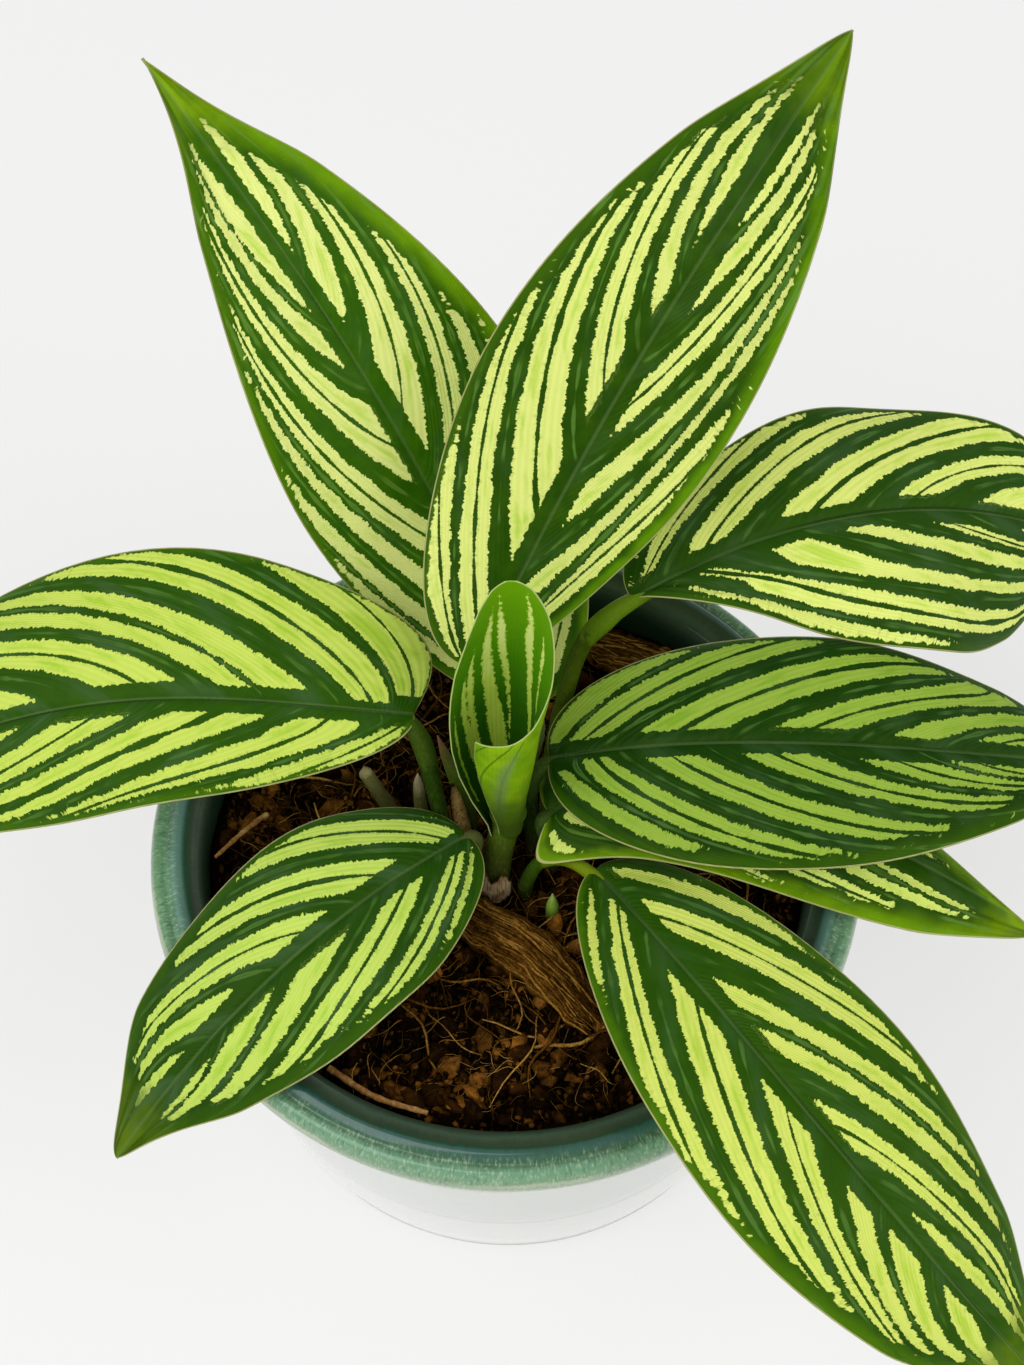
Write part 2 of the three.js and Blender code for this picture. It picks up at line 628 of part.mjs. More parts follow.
const plant = new THREE.Group();
plant.add(meshOf("pot", pot(), looks.glaze));
plant.add(meshOf("growing_mix", growingMix(), looks.coir));
for (const [name, piece] of Object.entries(HUSKS)) plant.add(meshOf(name, husk(piece), looks.husk));
for (const [name, leaf] of Object.entries(LEAVES)) plant.add(meshOf(name, openLeaf(leaf), looks.leaf));
plant.add(meshOf("new_leaf_rolled", newLeaf(), looks.leaf));
for (const [name, stations] of Object.entries(SHOOTS)) {
  plant.add(meshOf(name, stem(stations, 6), looks.shoot));
}
plant.add(meshOf("brown_sheath", stem(BROWN_SHEATH, 6), looks.papery));
plant.add(meshOf("torn_sheath", tornSheath(), looks.papery));
for (const [name, stations] of Object.entries(DRY_STALKS)) {
  plant.add(meshOf(name, stem(stations, 6, 5), looks.straw));
}
plant.add(meshOf("lying_stalk", lyingStalk(), looks.straw));

export default plant;
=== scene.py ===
# A potted calathea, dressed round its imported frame. Metres, +Z up, and -Y is the front.
# A glazed pot holds coir, eight striped leaves on their petioles, a rolled new leaf and young shoots.
import json
import math

import bmesh
import bpy
import numpy as np
from mathutils import Matrix, Vector

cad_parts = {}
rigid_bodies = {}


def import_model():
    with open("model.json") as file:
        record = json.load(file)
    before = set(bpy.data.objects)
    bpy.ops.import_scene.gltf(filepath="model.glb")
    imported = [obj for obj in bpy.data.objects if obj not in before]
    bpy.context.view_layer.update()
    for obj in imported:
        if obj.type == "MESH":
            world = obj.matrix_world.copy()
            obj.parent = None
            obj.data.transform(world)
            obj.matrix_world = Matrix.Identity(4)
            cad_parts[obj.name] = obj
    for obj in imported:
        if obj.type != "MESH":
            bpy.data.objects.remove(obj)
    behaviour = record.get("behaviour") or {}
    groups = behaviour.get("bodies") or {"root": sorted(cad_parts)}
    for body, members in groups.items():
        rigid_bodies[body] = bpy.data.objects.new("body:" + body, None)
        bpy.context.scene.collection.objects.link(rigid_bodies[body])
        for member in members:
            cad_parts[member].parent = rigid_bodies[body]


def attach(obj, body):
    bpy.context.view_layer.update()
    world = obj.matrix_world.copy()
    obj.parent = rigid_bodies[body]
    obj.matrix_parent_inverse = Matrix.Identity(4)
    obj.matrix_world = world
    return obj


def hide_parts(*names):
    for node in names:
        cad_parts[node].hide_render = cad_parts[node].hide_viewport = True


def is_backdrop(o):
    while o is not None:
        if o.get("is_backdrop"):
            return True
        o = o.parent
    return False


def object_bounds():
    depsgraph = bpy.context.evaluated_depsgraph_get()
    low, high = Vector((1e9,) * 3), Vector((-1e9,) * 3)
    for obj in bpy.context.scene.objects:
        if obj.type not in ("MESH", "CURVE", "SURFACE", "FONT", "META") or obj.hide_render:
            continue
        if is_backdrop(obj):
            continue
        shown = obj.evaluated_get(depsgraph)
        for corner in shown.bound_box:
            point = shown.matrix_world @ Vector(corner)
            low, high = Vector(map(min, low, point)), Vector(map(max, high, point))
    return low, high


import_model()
cad_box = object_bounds()
MM = 0.001

# ---------------------------------------------------------------- studio
# A pale sweep of board, a soft sky of white card all round, a large soft lamp to the upper left and a
# weaker one to the right. The camera looks down on the plant from the front, as the photograph does.

CAMERA_PLACE = (1.5, -180.4, 452.5)
CAMERA_ELEVATION = math.radians(58.83)
CAMERA_ROLL = math.radians(-0.54)
CAMERA_LENS = 50.11
CAMERA_SENSOR = 36
FLOOR_HALF = 3000
BOARD_COLOUR = (0.4, 0.4, 0.396)
BOARD_GLOW = 0.48
WHITE = (1, 1, 1, 1)
SKY_STRENGTH = 0.55
LAMPS = (  # name, place, size and power
    ("lamp_left", (-1040, -760, 1800), 1900, 26),
    ("lamp_right", (1200, -600, 1400), 1000, 9),
)
LAMP_AIM = (0, 0, 100)


def node(tree, kind, **settings):
    """A new node. A setting is one of its properties, or the value or link of an input."""
    made = tree.nodes.new(kind)
    for name, value in settings.items():
        if hasattr(made, name):
            setattr(made, name, value)
        else:
            put(made.inputs[name.replace("_", " ")], value)
    return made


def put(socket, value):
    """Gives an input a plain value, or links what another node gives out to it."""
    value = getattr(value, "socket", value)
    if isinstance(value, bpy.types.NodeSocket):
        socket.id_data.links.new(value, socket)
    elif socket.type == "RGBA" and len(value) == 3:
        socket.default_value = (*value, 1)
    else:
        socket.default_value = value


def finish_of(name, roughness=0.5, sheen=0.5, tint=(1, 1, 1), **plain):
    """A new material, its node tree and its shader. Plain values go on the shader's own inputs."""
    material = bpy.data.materials.new(name)
    material.use_nodes = True
    shader = material.node_tree.nodes["Principled BSDF"]
    plain.update(Roughness=roughness, Specular_IOR_Level=sheen, Specular_Tint=tint)
    for key, value in plain.items():
        put(shader.inputs[key.replace("_", " ")], value)
    return material, material.node_tree, shader


def shown(name, data):
    """An object in the scene, at the origin."""
    made = bpy.data.objects.new(name, data)
    bpy.context.scene.collection.objects.link(made)
    return made


def piece_of(name, points, faces, material=None):
    """A smooth mesh object. Points are in millimetres, and all faces have as many corners."""
    mesh = bpy.data.meshes.new(name)
    points = np.asarray(points, np.float32) * MM
    faces = np.asarray(faces, np.int32)
    mesh.vertices.add(len(points))
    mesh.vertices.foreach_set("co", points.ravel())
    mesh.loops.add(faces.size)
    mesh.loops.foreach_set("vertex_index", faces.ravel())
    mesh.polygons.add(len(faces))
    mesh.polygons.foreach_set("loop_start", np.arange(0, faces.size, faces.shape[1], dtype=np.int32))
    mesh.update(calc_edges=True)
    mesh.validate()
    mesh.polygons.foreach_set("use_smooth", np.ones(len(mesh.polygons), bool))
    if material:
        mesh.materials.append(material)
    return shown(name, mesh)


right, back = Vector((1, 0, 0)), Vector((0, -math.cos(CAMERA_ELEVATION), math.sin(CAMERA_ELEVATION)))
up = back.cross(right)
turned_x = right * math.cos(CAMERA_ROLL) + up * math.sin(CAMERA_ROLL)
turned_y = up * math.cos(CAMERA_ROLL) - right * math.sin(CAMERA_ROLL)
camera = shown("camera", bpy.data.cameras.new("camera"))
camera.data.lens = CAMERA_LENS
camera.data.sensor_width = CAMERA_SENSOR
camera.matrix_world = Matrix.Translation(Vector(CAMERA_PLACE) * MM) @ Matrix(
    (turned_x, turned_y, back)
).transposed().to_4x4()
bpy.context.scene.camera = camera

for name, place, size, power in LAMPS:
    lamp = shown(name, bpy.data.lights.new(name, "AREA"))
    lamp.data.size = size * MM
    lamp.data.energy = power
    lamp.location = Vector(place) * MM
    lamp.rotation_euler = (Vector(LAMP_AIM) * MM - lamp.location).to_track_quat("-Z", "Y").to_euler()

world = bpy.data.worlds.new("white_card")
bpy.context.scene.world = world
world.use_nodes = True
sky = world.node_tree.nodes["Background"]
sky.inputs["Color"].default_value = WHITE
sky.inputs["Strength"].default_value = SKY_STRENGTH
bpy.context.scene.view_settings.view_transform = "Standard"

board, _, _ = finish_of("pale_board", 0.9, Base_Color=BOARD_COLOUR, Emission_Color=WHITE,
                        Emission_Strength=BOARD_GLOW)
corners = [(x * FLOOR_HALF, y * FLOOR_HALF, 0) for x, y in ((-1, -1), (1, -1), (1, 1), (-1, 1))]
floor = piece_of("floor", corners, [(0, 1, 2, 3)], board)
floor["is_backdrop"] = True

# ---------------------------------------------------------------- pot
# A thrown stoneware pot, 150 mm across its rolled rim. The body has a clear gloss over a white glaze.
# The rim was dipped in a celadon glaze that crackles, pools blue on the crown and breaks cream at the edge.
# Painted light lies over the glaze: a highlight along that edge, paler left and right sides of the rim, a
# glint on the crown, and shade on the white body.

POT_SIDES = 160
POT_OUTSIDE = [
    (0, 0), (40, 0), (60.2, 0), (61.2, 0.35), (62, 1.6), (62.6, 5), (64, 12), (65, 23), (65.9, 33.2),
    (65.8, 34), (66.1, 34.8), (67.5, 47), (69, 60), (70.4, 71), (71.4, 79), (71.9, 82.6), (72.4, 84.4),
    (73.4, 85.4), (74.5, 87), (75, 89.2), (74.95, 92), (74.3, 94), (73.3, 94.95), (72.4, 94.95),
    (71.6, 94.7), (70.9, 95.25), (70, 95.85), (69.2, 96),
]
POT_INSIDE = [
    (68.3, 95.6), (66.8, 94.8), (65.2, 93.7), (64.2, 92.2), (63.85, 90), (63.8, 86), (63.5, 74),
    (63, 62), (60.5, 26), (58.6, 13), (56, 9), (40, 8), (0, 8),
]
POT_STEPS = 4  # points laid between one station of the profile and the next
RIM_RADIUS = 75.0
CELADON_START, CELADON_SPAN = -10, 45  # millimetres of the profile, from the crown, that the colours cover
CELADON = [  # from inside the rim, over its crown and down its outside
    (0.00, (0.022, 0.052, 0.028)),
    (0.12, (0.040, 0.072, 0.043)),
    (0.15, (0.058, 0.098, 0.062)),
    (0.185, (0.040, 0.060, 0.034)),
    (0.207, (0.024, 0.060, 0.032)),
    (0.232, (0.018, 0.074, 0.042)),
    (0.255, (0.036, 0.105, 0.056)),
    (0.275, (0.040, 0.112, 0.050)),
    (0.298, (0.105, 0.210, 0.120)),
    (0.318, (0.13, 0.28, 0.16)),
    (0.35, (0.15, 0.30, 0.17)),
    (0.40, (0.15, 0.29, 0.14)),
    (0.46, (0.20, 0.29, 0.135)),
    (0.54, (0.24, 0.32, 0.155)),
    (0.70, (0.29, 0.36, 0.20)),
    (0.80, (0.40, 0.47, 0.25)),
]
# The white body's tones are painted shade and light: greyer below the rim, where the rim shades it, and
# paler lower down, a painted bounce of light from the floor. The last stop turns a little darker at the very
# foot.
WHITE_BODY_AND_SHADE = [  # from the crown down to 100 mm along the profile
    (0.25, (0.54, 0.56, 0.52)), (0.55, (0.585, 0.60, 0.565)), (0.64, (0.615, 0.63, 0.595)),
    (0.71, (0.75, 0.755, 0.72)), (0.96, (0.86, 0.865, 0.83)), (1.0, (0.80, 0.82, 0.76)),
]


def through(points, steps):
    """A smooth line through the points."""
    p = np.asarray(points, float)
    ends = np.vstack([2 * p[0] - p[1], p, 2 * p[-1] - p[-2]])
    u = np.linspace(0, 1, steps, endpoint=False)[:, None]
    line = []
    for a, b, c, d in zip(ends, ends[1:], ends[2:], ends[3:]):
        line.append(0.5 * (2 * b + (c - a) * u + (2 * a - 5 * b + 4 * c - d) * u**2
                           + (3 * b - a - 3 * c + d) * u**3))
    return np.vstack([*line, p[-1:]])


def attribute(made, name, values):
    """A number on every point of a mesh, for its material to read."""
    layer = made.data.attributes.new(name, "FLOAT", "POINT")
    layer.data.foreach_set("value", np.asarray(values, np.float32).ravel())


class Value:
    """What a node gives out. Arithmetic on it adds the math nodes that work it out."""

    def __init__(self, socket):
        self.socket = socket

    def __add__(self, other):
        return calc("ADD", self, other)

    def __mul__(self, other):
        return calc("MULTIPLY", self, other)

    def __sub__(self, other):
        return calc("SUBTRACT", self, other)

    def __rsub__(self, other):
        return calc("SUBTRACT", other, self)


def tree_of(*values):
    """The tree of the first of the values that comes from a node."""
    return next(value.socket.id_data for value in values if isinstance(value, Value))


def calc(operation, *values, clamp=False):
    """What a math node makes of the values."""
    made = node(tree_of(*values), "ShaderNodeMath", operation=operation, use_clamp=clamp)
    for socket, value in zip(made.inputs, values):
        put(socket, value)
    return Value(made.outputs[0])


def vector(x, y, z=0.0):
    return Value(node(tree_of(x, y, z), "ShaderNodeCombineXYZ", X=x, Y=y, Z=z).outputs[0])


def parts(place):
    """The X, Y and Z of a place."""
    return [Value(part) for part in node(tree_of(place), "ShaderNodeSeparateXYZ", Vector=place).outputs]


def step_up(value, low, high):
    """0 below low, 1 above high and smooth between them."""
    return Value(node(tree_of(value), "ShaderNodeMapRange", interpolation_type="SMOOTHSTEP", Value=value,
                      From_Min=low, From_Max=high).outputs[0])


def blend(share, a, b):
    """Colour a where share is 0 and colour b where it is 1."""
    made = node(tree_of(share, a, b), "ShaderNodeMix", data_type="RGBA")
    for at, value in ((0, share), (6, a), (7, b)):
        put(made.inputs[at], value)
    return Value(made.outputs[2])


def layered(colour, *layers):
    """A colour with others laid over it in turn, each a pair of its share and itself."""
    for share, tone in layers:
        colour = blend(share, colour, tone)
    return colour


def read(tree, name):
    """A number that the mesh carries on its points."""
    return Value(node(tree, "ShaderNodeAttribute", attribute_name=name).outputs["Fac"])


def place_in(tree, scale=(1, 1, 1)):
    """The place on the piece, in millimetres, stretched by scale."""
    coordinates = node(tree, "ShaderNodeTexCoord").outputs["Object"]
    sizes = tuple(s / MM for s in scale)
    return Value(node(tree, "ShaderNodeMapping", Vector=coordinates, Scale=sizes).outputs[0])


def mottle(place, size, detail, distortion=0.0):
    """Soft noise with marks of about that size in millimetres."""
    return Value(node(tree_of(place), "ShaderNodeTexNoise", Vector=place, Scale=1 / size, Detail=detail,
                      Distortion=distortion).outputs["Fac"])


def bands(value, stops):
    """Colours along a value: stops are (value from 0 to 1, colour)."""
    made = node(tree_of(value), "ShaderNodeValToRGB", Fac=value)
    for _ in stops[2:]:
        made.color_ramp.elements.new(0.5)
    for element, (place, colour) in zip(made.color_ramp.elements, stops):
        element.position = place
        element.color = (*colour, 1)
    return Value(made.outputs["Color"])


def relief(shader, height, depth, strength=1.0):
    """A bump of that depth in millimetres, on top of any the shader already has."""
    normal = shader.inputs["Normal"]
    made = node(tree_of(height), "ShaderNodeBump", Height=height, Strength=strength, Distance=depth * MM)
    if normal.is_linked:
        put(made.inputs["Normal"], normal.links[0].from_socket)
    put(normal, made.outputs[0])


def rings_of(radii, sides):
    """The x and the y of points on rings round +Z, which start at the front."""
    ring = 2 * np.pi * np.arange(sides) / sides
    return np.outer(radii, np.sin(ring)), -np.outer(radii, np.cos(ring))


def ring_faces(rings, sides):
    """Faces between each ring of points and the next. They look up where the rings widen."""
    i = np.arange(rings - 1)[:, None] * sides
    j = np.arange(sides)[None, :]
    n = (j + 1) % sides
    return np.stack([i + j, i + j + sides, i + n + sides, i + n], -1).reshape(-1, 4)


CROWN_AT = len(POT_OUTSIDE) - 1
profile = through(POT_OUTSIDE + POT_INSIDE, POT_STEPS)
glaze_run = np.concatenate([[0], np.cumsum(np.hypot(*np.diff(profile, axis=0).T))])
glaze_run = glaze_run[CROWN_AT * POT_STEPS] - glaze_run  # from the crown: outwards is plus

glaze, tree, shader = finish_of("celadon_and_white_glaze", sheen=0.28, Coat_Roughness=0.12)
spot = place_in(tree)
run = read(tree, "glaze_run")
x, y, _ = parts(spot)
outward = node(tree, "ShaderNodeVectorMath", operation="NORMALIZE")
put(outward.inputs[0], vector(x, y))
way_x, way_y, _ = parts(Value(outward.outputs[0]))
# marks that the melting glaze drew down the rim, whichever way it faces
streak = vector(way_x * RIM_RADIUS, way_y * RIM_RADIUS, run * 0.36)
wander = mottle(spot, 8, 3) * 2.0 - 1.0
drip = mottle(streak, 1.1, 3) * 1.8 - 0.9
# painted light: the rim's left side, and less so its right, is drawn lighter,
# its colour bands shifted 2 mm so that the paler outer ones reach further in
painted_light_sides = step_up(x, 46.0, 68.0) * 0.7 + step_up(x, -42.0, -68.0)
run_here = run + wander + drip + painted_light_sides * 2.0
on_celadon = step_up(run_here, 0.6, 3.4) * step_up(run, 16.0, 12.0)
blue = step_up(run_here, -0.6, 0.4) * step_up(run_here, 2.4, 1.2) * step_up(mottle(spot, 26, 2), 0.4, 0.62)
# painted reflection: a pale blue-grey glint on the crown, where the sides are painted lighter
painted_crown_glint = step_up(run, -2.0, -0.6) * step_up(run, 1.6, 0.6) * painted_light_sides
fleck = step_up(mottle(streak, 0.42, 3), 0.48, 0.72) * on_celadon
dark_fleck = step_up(mottle(streak, 0.8, 3), 0.46, 0.3) * on_celadon
# the glaze breaks cream along the edge of the roll, in patches, and a painted highlight lies along the same
# line
edge_break_and_highlight = step_up(run_here, 7.2, 7.9) * step_up(run_here, 9.6, 8.6)
edge_break_and_highlight = edge_break_and_highlight * step_up(mottle(spot, 30, 1), 0.44, 0.56)
body_tone_and_shade = blend(mottle(place_in(tree, (1, 1, 3)), 30, 2) * 0.3, bands(run * 0.01, WHITE_BODY_AND_SHADE),
                  (0.70, 0.71, 0.68))
dip_line = mottle(spot, 24, 2) * 9.0 + (run_here - 4.5)
glaze_colour = layered(
    bands(run_here * (1 / CELADON_SPAN) - CELADON_START / CELADON_SPAN, CELADON),
    (blue * 0.5, (0.028, 0.100, 0.092)),
    (painted_crown_glint * 0.6, (0.20, 0.36, 0.33)),
    (fleck * 0.5, (0.44, 0.60, 0.40)),
    (dark_fleck * 0.6, (0.04, 0.16, 0.09)),
    (edge_break_and_highlight * 0.5, (0.50, 0.54, 0.36)),
    (step_up(dip_line, 24.2, 28.8), body_tone_and_shade),
)
put(shader.inputs["Base Color"], glaze_colour)
outside = step_up(run, -6.5, -3.5)
put(shader.inputs["Roughness"], outside * -0.27 + 0.45)
put(shader.inputs["Coat Weight"], outside * 0.4)
relief(shader, mottle(spot, 9, 1), 0.12)
crackle = node(tree, "ShaderNodeTexVoronoi", feature="DISTANCE_TO_EDGE", Vector=streak, Scale=1.3)
relief(shader, Value(crackle.outputs[0]) * on_celadon, 0.03, 0.5)

# the first and the last point of the profile lie on the axis and have no ring, so the body is open there
radii, heights = profile[1:-1].T
pot_rings = [*rings_of(radii, POT_SIDES), np.repeat(heights[:, None], POT_SIDES, 1)]
pot_faces = ring_faces(len(radii), POT_SIDES)[:, [0, 3, 2, 1]]
pot = piece_of("glazed_pot", np.stack(pot_rings, -1).reshape(-1, 3), pot_faces, glaze)
attribute(pot, "glaze_run", np.repeat(glaze_run[1:-1], POT_SIDES))
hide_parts("pot")
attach(pot, "root")

# ---------------------------------------------------------------- coir
# Brown coconut fibre, filled to about a centimetre below the rim. It is loose: a lumpy bed, with crumbs
# and chips of husk strewn over it and pale curved fibres tangled on top.

BED_LEVEL = 83.6
STREWN_LEVEL = 84.1
BED_FOOT = 70
LUMPS = ((19, 0.9), (11, 0.6), (6, 0.45), (3.4, 0.3), (2.2, 0.2))  # wavelength and height
LUMP_SEED = 4
SOIL_RADIUS = 63.3
BED_RINGS = 64
BED_SECTORS = 160


def lumps(x, y):
    """The heap's uneven height in millimetres: waves of each length, heading many ways."""
    draw = np.random.default_rng(LUMP_SEED)
    height = np.zeros_like(x)
    for length, tall in LUMPS:
        for _ in range(5):
            way, start = draw.uniform(0, 2 * np.pi, 2)
            stretch = length * draw.uniform(0.8, 1.25)
            height += tall * 0.6 * np.sin((x * np.cos(way) + y * np.sin(way)) * 2 * np.pi / stretch + start)
    return height


def heap(radius, foot):
    """The top of the coir as rings of points, from the middle out."""
    r = radius * np.linspace(0, 1, BED_RINGS + 1)[1:]
    x, y = rings_of(r, BED_SECTORS)
    z = foot + lumps(x, y) * np.minimum(1, (radius + 3 - r[:, None]) / 6)
    return np.stack([x, y, z], -1)


def modelled(source, tree, name, **values):
    """What a tree of geometry nodes makes of a source, as a plain mesh. The source is used up."""
    modifier = source.modifiers.new("nodes", "NODES")
    modifier.node_group = tree
    for item in tree.interface.items_tree:
        if item.name in values:
            modifier[item.identifier] = values[item.name]
    graph = bpy.context.evaluated_depsgraph_get()
    mesh = bpy.data.meshes.new_from_object(source.evaluated_get(graph), depsgraph=graph)
    bpy.data.objects.remove(source)
    mesh.name = name
    mesh.polygons.foreach_set("use_smooth", np.ones(len(mesh.polygons), bool))
    return shown(name, mesh)


def sockets(tree, inputs, outputs):
    """Gives a group of nodes its inputs and outputs, each a name and a kind, and returns them."""
    for way, kinds in (("INPUT", inputs), ("OUTPUT", outputs)):
        for name, kind in kinds.items():
            tree.interface.new_socket(name, in_out=way, socket_type="NodeSocket" + kind)
    given = {name: Value(socket) for name, socket in zip(inputs, tree.nodes.new("NodeGroupInput").outputs)}
    return given, tree.nodes.new("NodeGroupOutput").inputs


def lot(tree, seed, *ends, kind="FLOAT"):
    """A value drawn by chance for each thing, from 0 to 1 or between the ends."""
    made = node(tree, "FunctionNodeRandomValue", data_type=kind, Seed=seed)
    first, out = (0, 0) if kind == "FLOAT_VECTOR" else (2, 1)
    for socket, value in zip(made.inputs[first:], ends):
        put(socket, value)
    return made.outputs[out]


def stored(tree, geometry, domain, name, value):
    """A geometry with a number on each thing in the domain, for its material to read."""
    return node(tree, "GeometryNodeStoreNamedAttribute", data_type="FLOAT", domain=domain, Geometry=geometry,
                Name=name, Value=value).outputs[0]


def give_out(tree, result, geometry, finish):
    """Ends a tree: what it gives out is plain mesh in that finish."""
    real = node(tree, "GeometryNodeRealizeInstances", Geometry=geometry).outputs[0]
    put(result[0], node(tree, "GeometryNodeSetMaterial", Geometry=real, Material=finish).outputs[0])


def strewing():
    """Strews copies of a few things over a surface, each turned, leaned, sized and toned by chance."""
    tree = bpy.data.node_groups.new("strewn", "GeometryNodeTree")
    given, result = sockets(tree, dict(Surface="Geometry", Kinds="Collection", Density="Float", Seed="Int",
                                       Smallest="Float", Largest="Float", Lean="Float", Finish="Material"),
                            dict(Geometry="Geometry"))
    points = node(tree, "GeometryNodeDistributePointsOnFaces", Mesh=given["Surface"],
                  Density=given["Density"], Seed=given["Seed"])
    kinds = node(tree, "GeometryNodeCollectionInfo", Collection=given["Kinds"], Separate_Children=True,
                 Reset_Children=True)
    lean = given["Lean"]
    turn = lot(tree, 0, vector(lean * -1, lean * -1), vector(lean, lean, 2 * math.pi), kind="FLOAT_VECTOR")
    size = lot(tree, 7, given["Smallest"], given["Largest"])
    copies = node(tree, "GeometryNodeInstanceOnPoints", Points=points.outputs[0], Instance=kinds.outputs[0],
                  Pick_Instance=True, Rotation=turn, Scale=size)
    toned = stored(tree, copies.outputs[0], "INSTANCE", "tone", lot(tree, 3))
    give_out(tree, result, toned, given["Finish"])
    return tree


def drawing():
    """Draws a round stem along each spline of a curve, as thick as the curve's own radius."""
    tree = bpy.data.node_groups.new("drawn", "GeometryNodeTree")
    given, result = sockets(tree, dict(Curve="Geometry", Sides="Int", Finish="Material"),
                            dict(Geometry="Geometry"))
    along = node(tree, "GeometryNodeSplineParameter").outputs["Factor"]
    marked = stored(tree, given["Curve"], "POINT", "along", along)
    toned = stored(tree, marked, "CURVE", "strand", lot(tree, 0))
    section = node(tree, "GeometryNodeCurvePrimitiveCircle", Resolution=given["Sides"], Radius=1.0)
    radius = node(tree, "GeometryNodeInputRadius")
    tube = node(tree, "GeometryNodeCurveToMesh", Curve=toned, Scale=radius.outputs[0], Fill_Caps=True,
                Profile_Curve=section.outputs[0])
    give_out(tree, result, tube.outputs[0], given["Finish"])
    return tree


STREWN, DRAWN = strewing(), drawing()


def curve_of(name, lines):
    """A curve with one spline for each line of points (x, y, z, radius), in millimetres."""
    curve = bpy.data.curves.new(name, "CURVE")
    curve.dimensions = "3D"
    for line in lines:
        line = np.asarray(line, float) * MM
        spline = curve.splines.new("POLY")
        spline.points.add(len(line) - 1)
        spline.points.foreach_set("co", np.column_stack([line[:, :3], np.ones(len(line))]).ravel())
        spline.points.foreach_set("radius", line[:, 3])
    return shown(name, curve)


def drawn(name, lines, finish, sides):
    """Round stems along lines of points (x, y, z, radius), in millimetres, as one mesh."""
    return modelled(curve_of(name, lines), DRAWN, name, Sides=sides, Finish=finish)


FIBRE_TINT = (0.9, 0.6, 0.25)


def coat(shader, colour, height, depth):
    """Gives a shader its colour, and a relief of that depth in millimetres."""
    put(shader.inputs["Base Color"], colour)
    relief(shader, height, depth)


def fibrous_finish(name, dark, middle, bright, roughness=0.85, tone_from="tone", deep=(82, 87.5)):
    """Dry coconut fibre: its own tone on each bit, painted shade low in the heap, a matt, threadbare
    surface.
    """
    material, tree, shader = finish_of(name, roughness, 0.08, FIBRE_TINT)
    spot = place_in(tree)
    tone = calc("ADD", read(tree, tone_from), mottle(spot, 1.1, 5) - 0.5, clamp=True)
    colour = bands(tone, [(0.0, dark), (0.55, middle), (1.0, bright)])
    # painted shade: below the heights in deep, each bit fades to near black, the shade down in the gaps of
    # the coir
    painted_hollow_shade = blend(0.88, colour, (0.001, 0.0004, 0.0002))
    coat(shader, blend(step_up(parts(spot)[2], *deep), painted_hollow_shade, colour), mottle(spot, 0.5, 3), 0.5)
    return material


def chunk(name, seed, level, shape):
    """An uneven lump of husk, about 1 mm in radius before it is sized."""
    draw = np.random.default_rng(seed)
    body = bmesh.new()
    bmesh.ops.create_icosphere(body, subdivisions=level, radius=MM)
    for vert in body.verts:
        vert.co *= draw.uniform(0.7, 1.25)
        vert.co = Vector(c * s for c, s in zip(vert.co, shape))
    mesh = bpy.data.meshes.new(name)
    body.to_mesh(mesh)
    body.free()
    return bpy.data.objects.new(name, mesh)


def loose_fibre(name, seed, half_length, thick, lift):
    """A curved fibre that lies on the coir with its ends in it."""
    draw = np.random.default_rng(seed)
    u = np.linspace(-1, 1, 11)
    bow, twist, kink = draw.uniform(-0.55, 0.55), draw.uniform(-0.3, 0.3), draw.uniform(0, 6)
    x = u * half_length * draw.uniform(0.7, 1)
    y = half_length * (bow * (1 - u * u) + twist * u**3 + 0.06 * np.sin(5 * u + kink))
    z = lift * draw.uniform(0.3, 1) * (1 - u * u) - 0.6 * np.abs(u) + 0.12 * lift * np.sin(4 * u + seed)
    radius = thick * draw.uniform(0.55, 1.2) * (1 - 0.55 * u * u)
    return drawn(name, [np.stack([x, y, z, radius], -1)], None, sides=3)


def kinds_of(name, things):
    kinds = bpy.data.collections.new(name)
    for thing in things:
        for holder in thing.users_collection:
            holder.objects.unlink(thing)
        kinds.objects.link(thing)
    return kinds


bed_rings = heap(SOIL_RADIUS, BED_LEVEL)
wall = bed_rings[-1:] * (1, 1, 0) + (0, 0, BED_FOOT)
bed_points = np.concatenate([bed_rings, wall]).reshape(-1, 3)
# the bed under the strewn bits comes out nearly black: dark coir, and the painted shade of the gaps
coir = fibrous_finish("coir_finish", (0.003, 0.001, 0.0005), (0.012, 0.005, 0.002), (0.05, 0.02, 0.006))
bed = piece_of("coir_bed", bed_points, ring_faces(BED_RINGS + 1, BED_SECTORS), coir)
attribute(bed, "tone", np.full(len(bed.data.vertices), 0.3))
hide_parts("growing_mix")
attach(bed, "root")

